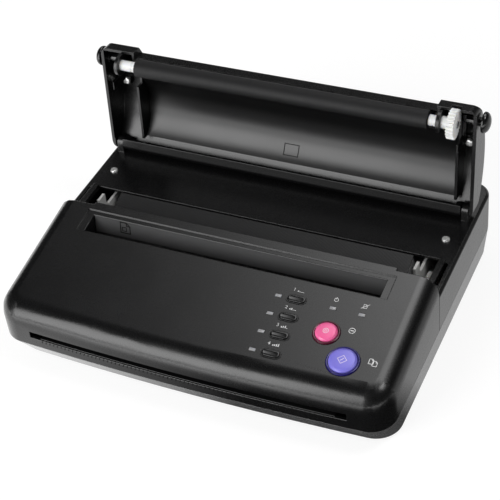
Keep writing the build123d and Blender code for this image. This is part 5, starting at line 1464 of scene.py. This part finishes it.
@dataclass
class Studio:
    """A pale floor, soft light and the camera at the photograph's place."""

    azimuth: float = 28.282
    elevation: float = 40.646
    roll: float = -6.759
    place: Vector = field(default_factory=lambda: Vector((0.353951, -0.654538, 0.686357)))
    lens: float = 102.09
    sensor: float = 36.0
    clip: tuple[float, float] = (0.05, 20.0)
    floor_half: float = 3.0
    floor_roughness: float = 0.9
    floor_specular: float = 0.1
    floor_tone: Colour = (0.93, 0.93, 0.93)
    floor_white: float = 0.7
    diffuse_level: float = 0.36
    gloss_level: float = 0.03
    horizon_level: float = 0.25
    horizon_edge: float = 0.1
    horizon_ramp: float = 5.0
    spot: tuple[float, float] = (0.5, 0.866)
    spot_edge: float = 0.88
    spot_gain: float = 1200.0
    spot_level: float = 4.5
    floor_glow: float = 0.03
    left_glow: float = 1.6
    left_edge: float = 0.03
    left_ramp: float = 6.0
    side_glow: float = 0.75
    side_start: float = 4.6
    side_ramp: float = 40.0
    back_start: float = 0.07
    back_ramp: float = 30.0
    far_glow: float = 4.0
    far_edge: float = -0.25
    far_ramp: float = 4.0
    seen_glow: float = 1.15
    lamps: tuple[tuple[str, Spot, Spot, float, float], ...] = (
        ("key", (-0.75, -1.5, 0.78), (0.0, -0.05, 0.05), 1.2, 27.0),
        ("over", (0.9, 0.1, 1.6), (0.0, 0.0, 0.05), 0.6, 9.0),
    )

    def camera(self) -> None:
        """Sets up the camera."""
        turn, tilt, roll = (math.radians(a) for a in (self.azimuth, self.elevation, self.roll))
        back = Vector(
            (math.sin(turn) * math.cos(tilt), -math.cos(turn) * math.cos(tilt), math.sin(tilt))
        )
        level = (-back).cross(Vector((0, 0, 1))).normalized()
        upright = level.cross(-back)
        right = level * math.cos(roll) + upright * math.sin(roll)
        up = upright * math.cos(roll) - level * math.sin(roll)
        data = bpy.data.cameras.new("camera")
        data.lens = self.lens
        data.sensor_width = self.sensor
        data.clip_start, data.clip_end = self.clip
        camera = bpy.data.objects.new("camera", data)
        turned = Matrix((right, up, back)).transposed().to_4x4()
        camera.matrix_world = Matrix.Translation(self.place) @ turned
        bpy.context.collection.objects.link(camera)
        bpy.context.scene.camera = camera

    def floor(self) -> None:
        """Lays the floor: pale to the eye with a soft shadow, and uneven to glossy surfaces.

        In their reflections it is bright to the left, beside and far in front, as in a lit room.
        """
        mesh = bmesh.new()
        bmesh.ops.create_grid(mesh, x_segments=1, y_segments=1, size=self.floor_half)
        data = bpy.data.meshes.new("floor")
        mesh.to_mesh(data)
        mesh.free()
        floor = bpy.data.objects.new("floor", data)
        bpy.context.collection.objects.link(floor)
        recipe = Recipe("floor_pale")
        recipe.set(
            Base_Color=self.floor_tone,
            Roughness=self.floor_roughness,
            Specular_IOR_Level=self.floor_specular,
        )
        path = recipe.node("ShaderNodeLightPath")
        camera = Wire(recipe.tree, path.outputs["Is Camera Ray"])
        gloss = Wire(recipe.tree, path.outputs["Is Glossy Ray"])
        x, y = recipe.axis("X"), recipe.axis("Y")
        left = ((self.left_edge - x) * self.left_ramp).clipped()
        beside = (x * self.side_ramp - self.side_start).clipped()
        back = ((y + self.back_start) * self.back_ramp).clipped()
        far = ((self.far_edge - y) * self.far_ramp).clipped()
        near = left * self.left_glow + beside * back * self.side_glow + self.floor_glow
        strength = camera * self.seen_glow + gloss * (near + far * self.far_glow)
        glow = recipe.node(
            "ShaderNodeEmission", inputs={"Color": (1.0, 1.0, 1.0), "Strength": strength}
        )
        share = camera * self.floor_white + gloss
        mixed = recipe.node(
            "ShaderNodeMixShader",
            inputs={0: share, 1: recipe.shader.outputs[0], 2: glow.outputs[0]},
        )
        recipe.tree.links.new(mixed.outputs[0], recipe.output.inputs["Surface"])
        data.materials.append(recipe.material)

    def sky(self) -> None:
        """Sets the world: white to the eye, a plain level of light for everything that is dull.

        Glossy surfaces mirror a dark sky with a paler horizon and one soft bright patch overhead.
        """
        world = bpy.data.worlds.new("studio")
        bpy.context.scene.world = world
        world.use_nodes = True
        tree = world.node_tree
        tree.nodes.clear()
        output = tree.nodes.new("ShaderNodeOutputWorld")
        ground = tree.nodes.new("ShaderNodeBackground")
        path = tree.nodes.new("ShaderNodeLightPath")
        coordinates = tree.nodes.new("ShaderNodeTexCoord")
        split = tree.nodes.new("ShaderNodeSeparateXYZ")
        tree.links.new(coordinates.outputs["Generated"], split.inputs[0])
        height = Wire(tree, split.outputs["Z"])
        camera = Wire(tree, path.outputs["Is Camera Ray"])
        gloss = Wire(tree, path.outputs["Is Glossy Ray"])
        through = Wire(tree, path.outputs["Is Transmission Ray"])
        horizon = (1.0 - (height - self.horizon_edge).clipped() * self.horizon_ramp).clipped()
        beyond = Wire(tree, split.outputs["Y"]) * self.spot[0] + height * self.spot[1]
        inside = (beyond - self.spot_edge).clipped()
        spot = (inside * inside * inside * self.spot_gain).clipped() * self.spot_level
        mirrored = horizon * self.horizon_level + self.gloss_level + spot
        seen = (camera + through).clipped() + gloss * mirrored
        level = seen + (1.0 - (camera + through + gloss).clipped()) * self.diffuse_level
        ground.inputs["Color"].default_value = (1.0, 1.0, 1.0, 1.0)
        tree.links.new(level.socket, ground.inputs["Strength"])
        tree.links.new(ground.outputs[0], output.inputs["Surface"])

    def softbox(self, name: str, place: Spot, aim: Spot, size: float, power: float) -> None:
        """Hangs one soft square lamp.

        Args:
            name: the lamp's name.
            place: where it hangs.
            aim: the point it faces.
            size: its width in metres.
            power: its power in watts.
        """
        data = bpy.data.lights.new(name, "AREA")
        data.shape = "SQUARE"
        data.size = size
        data.energy = power
        lamp = bpy.data.objects.new(name, data)
        direction = Vector(aim) - Vector(place)
        turned = direction.to_track_quat("-Z", "Y").to_matrix().to_4x4()
        lamp.matrix_world = Matrix.Translation(Vector(place)) @ turned
        bpy.context.collection.objects.link(lamp)

    def light(self) -> None:
        """Hangs the lamps: a wide one at the front left, a small one high at the right."""
        for name, place, aim, size, power in self.lamps:
            self.softbox(name, place, aim, size, power)


def main() -> None:
    """Builds the machine and its studio, piece by piece."""
    logging.basicConfig(level=logging.INFO, format="%(name)s: %(message)s")
    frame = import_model()
    studio = Studio()
    studio.camera()
    studio.floor()
    studio.sky()
    studio.light()
    solids = Solids(frame["nodes"])
    solids.dress()
    machine = Machine(frame["nodes"], frame["record"]["behaviour"]["bodies"])
    Castings(machine).make(solids.finishes())
    Panel(machine).make()
    Fasteners(machine).make()
    Releases(machine).make()
    Bushes(machine).make()
    SmallMarks(machine).make()
    bpy.context.scene.view_settings.view_transform = "Standard"


if __name__ == "__main__":
    main()
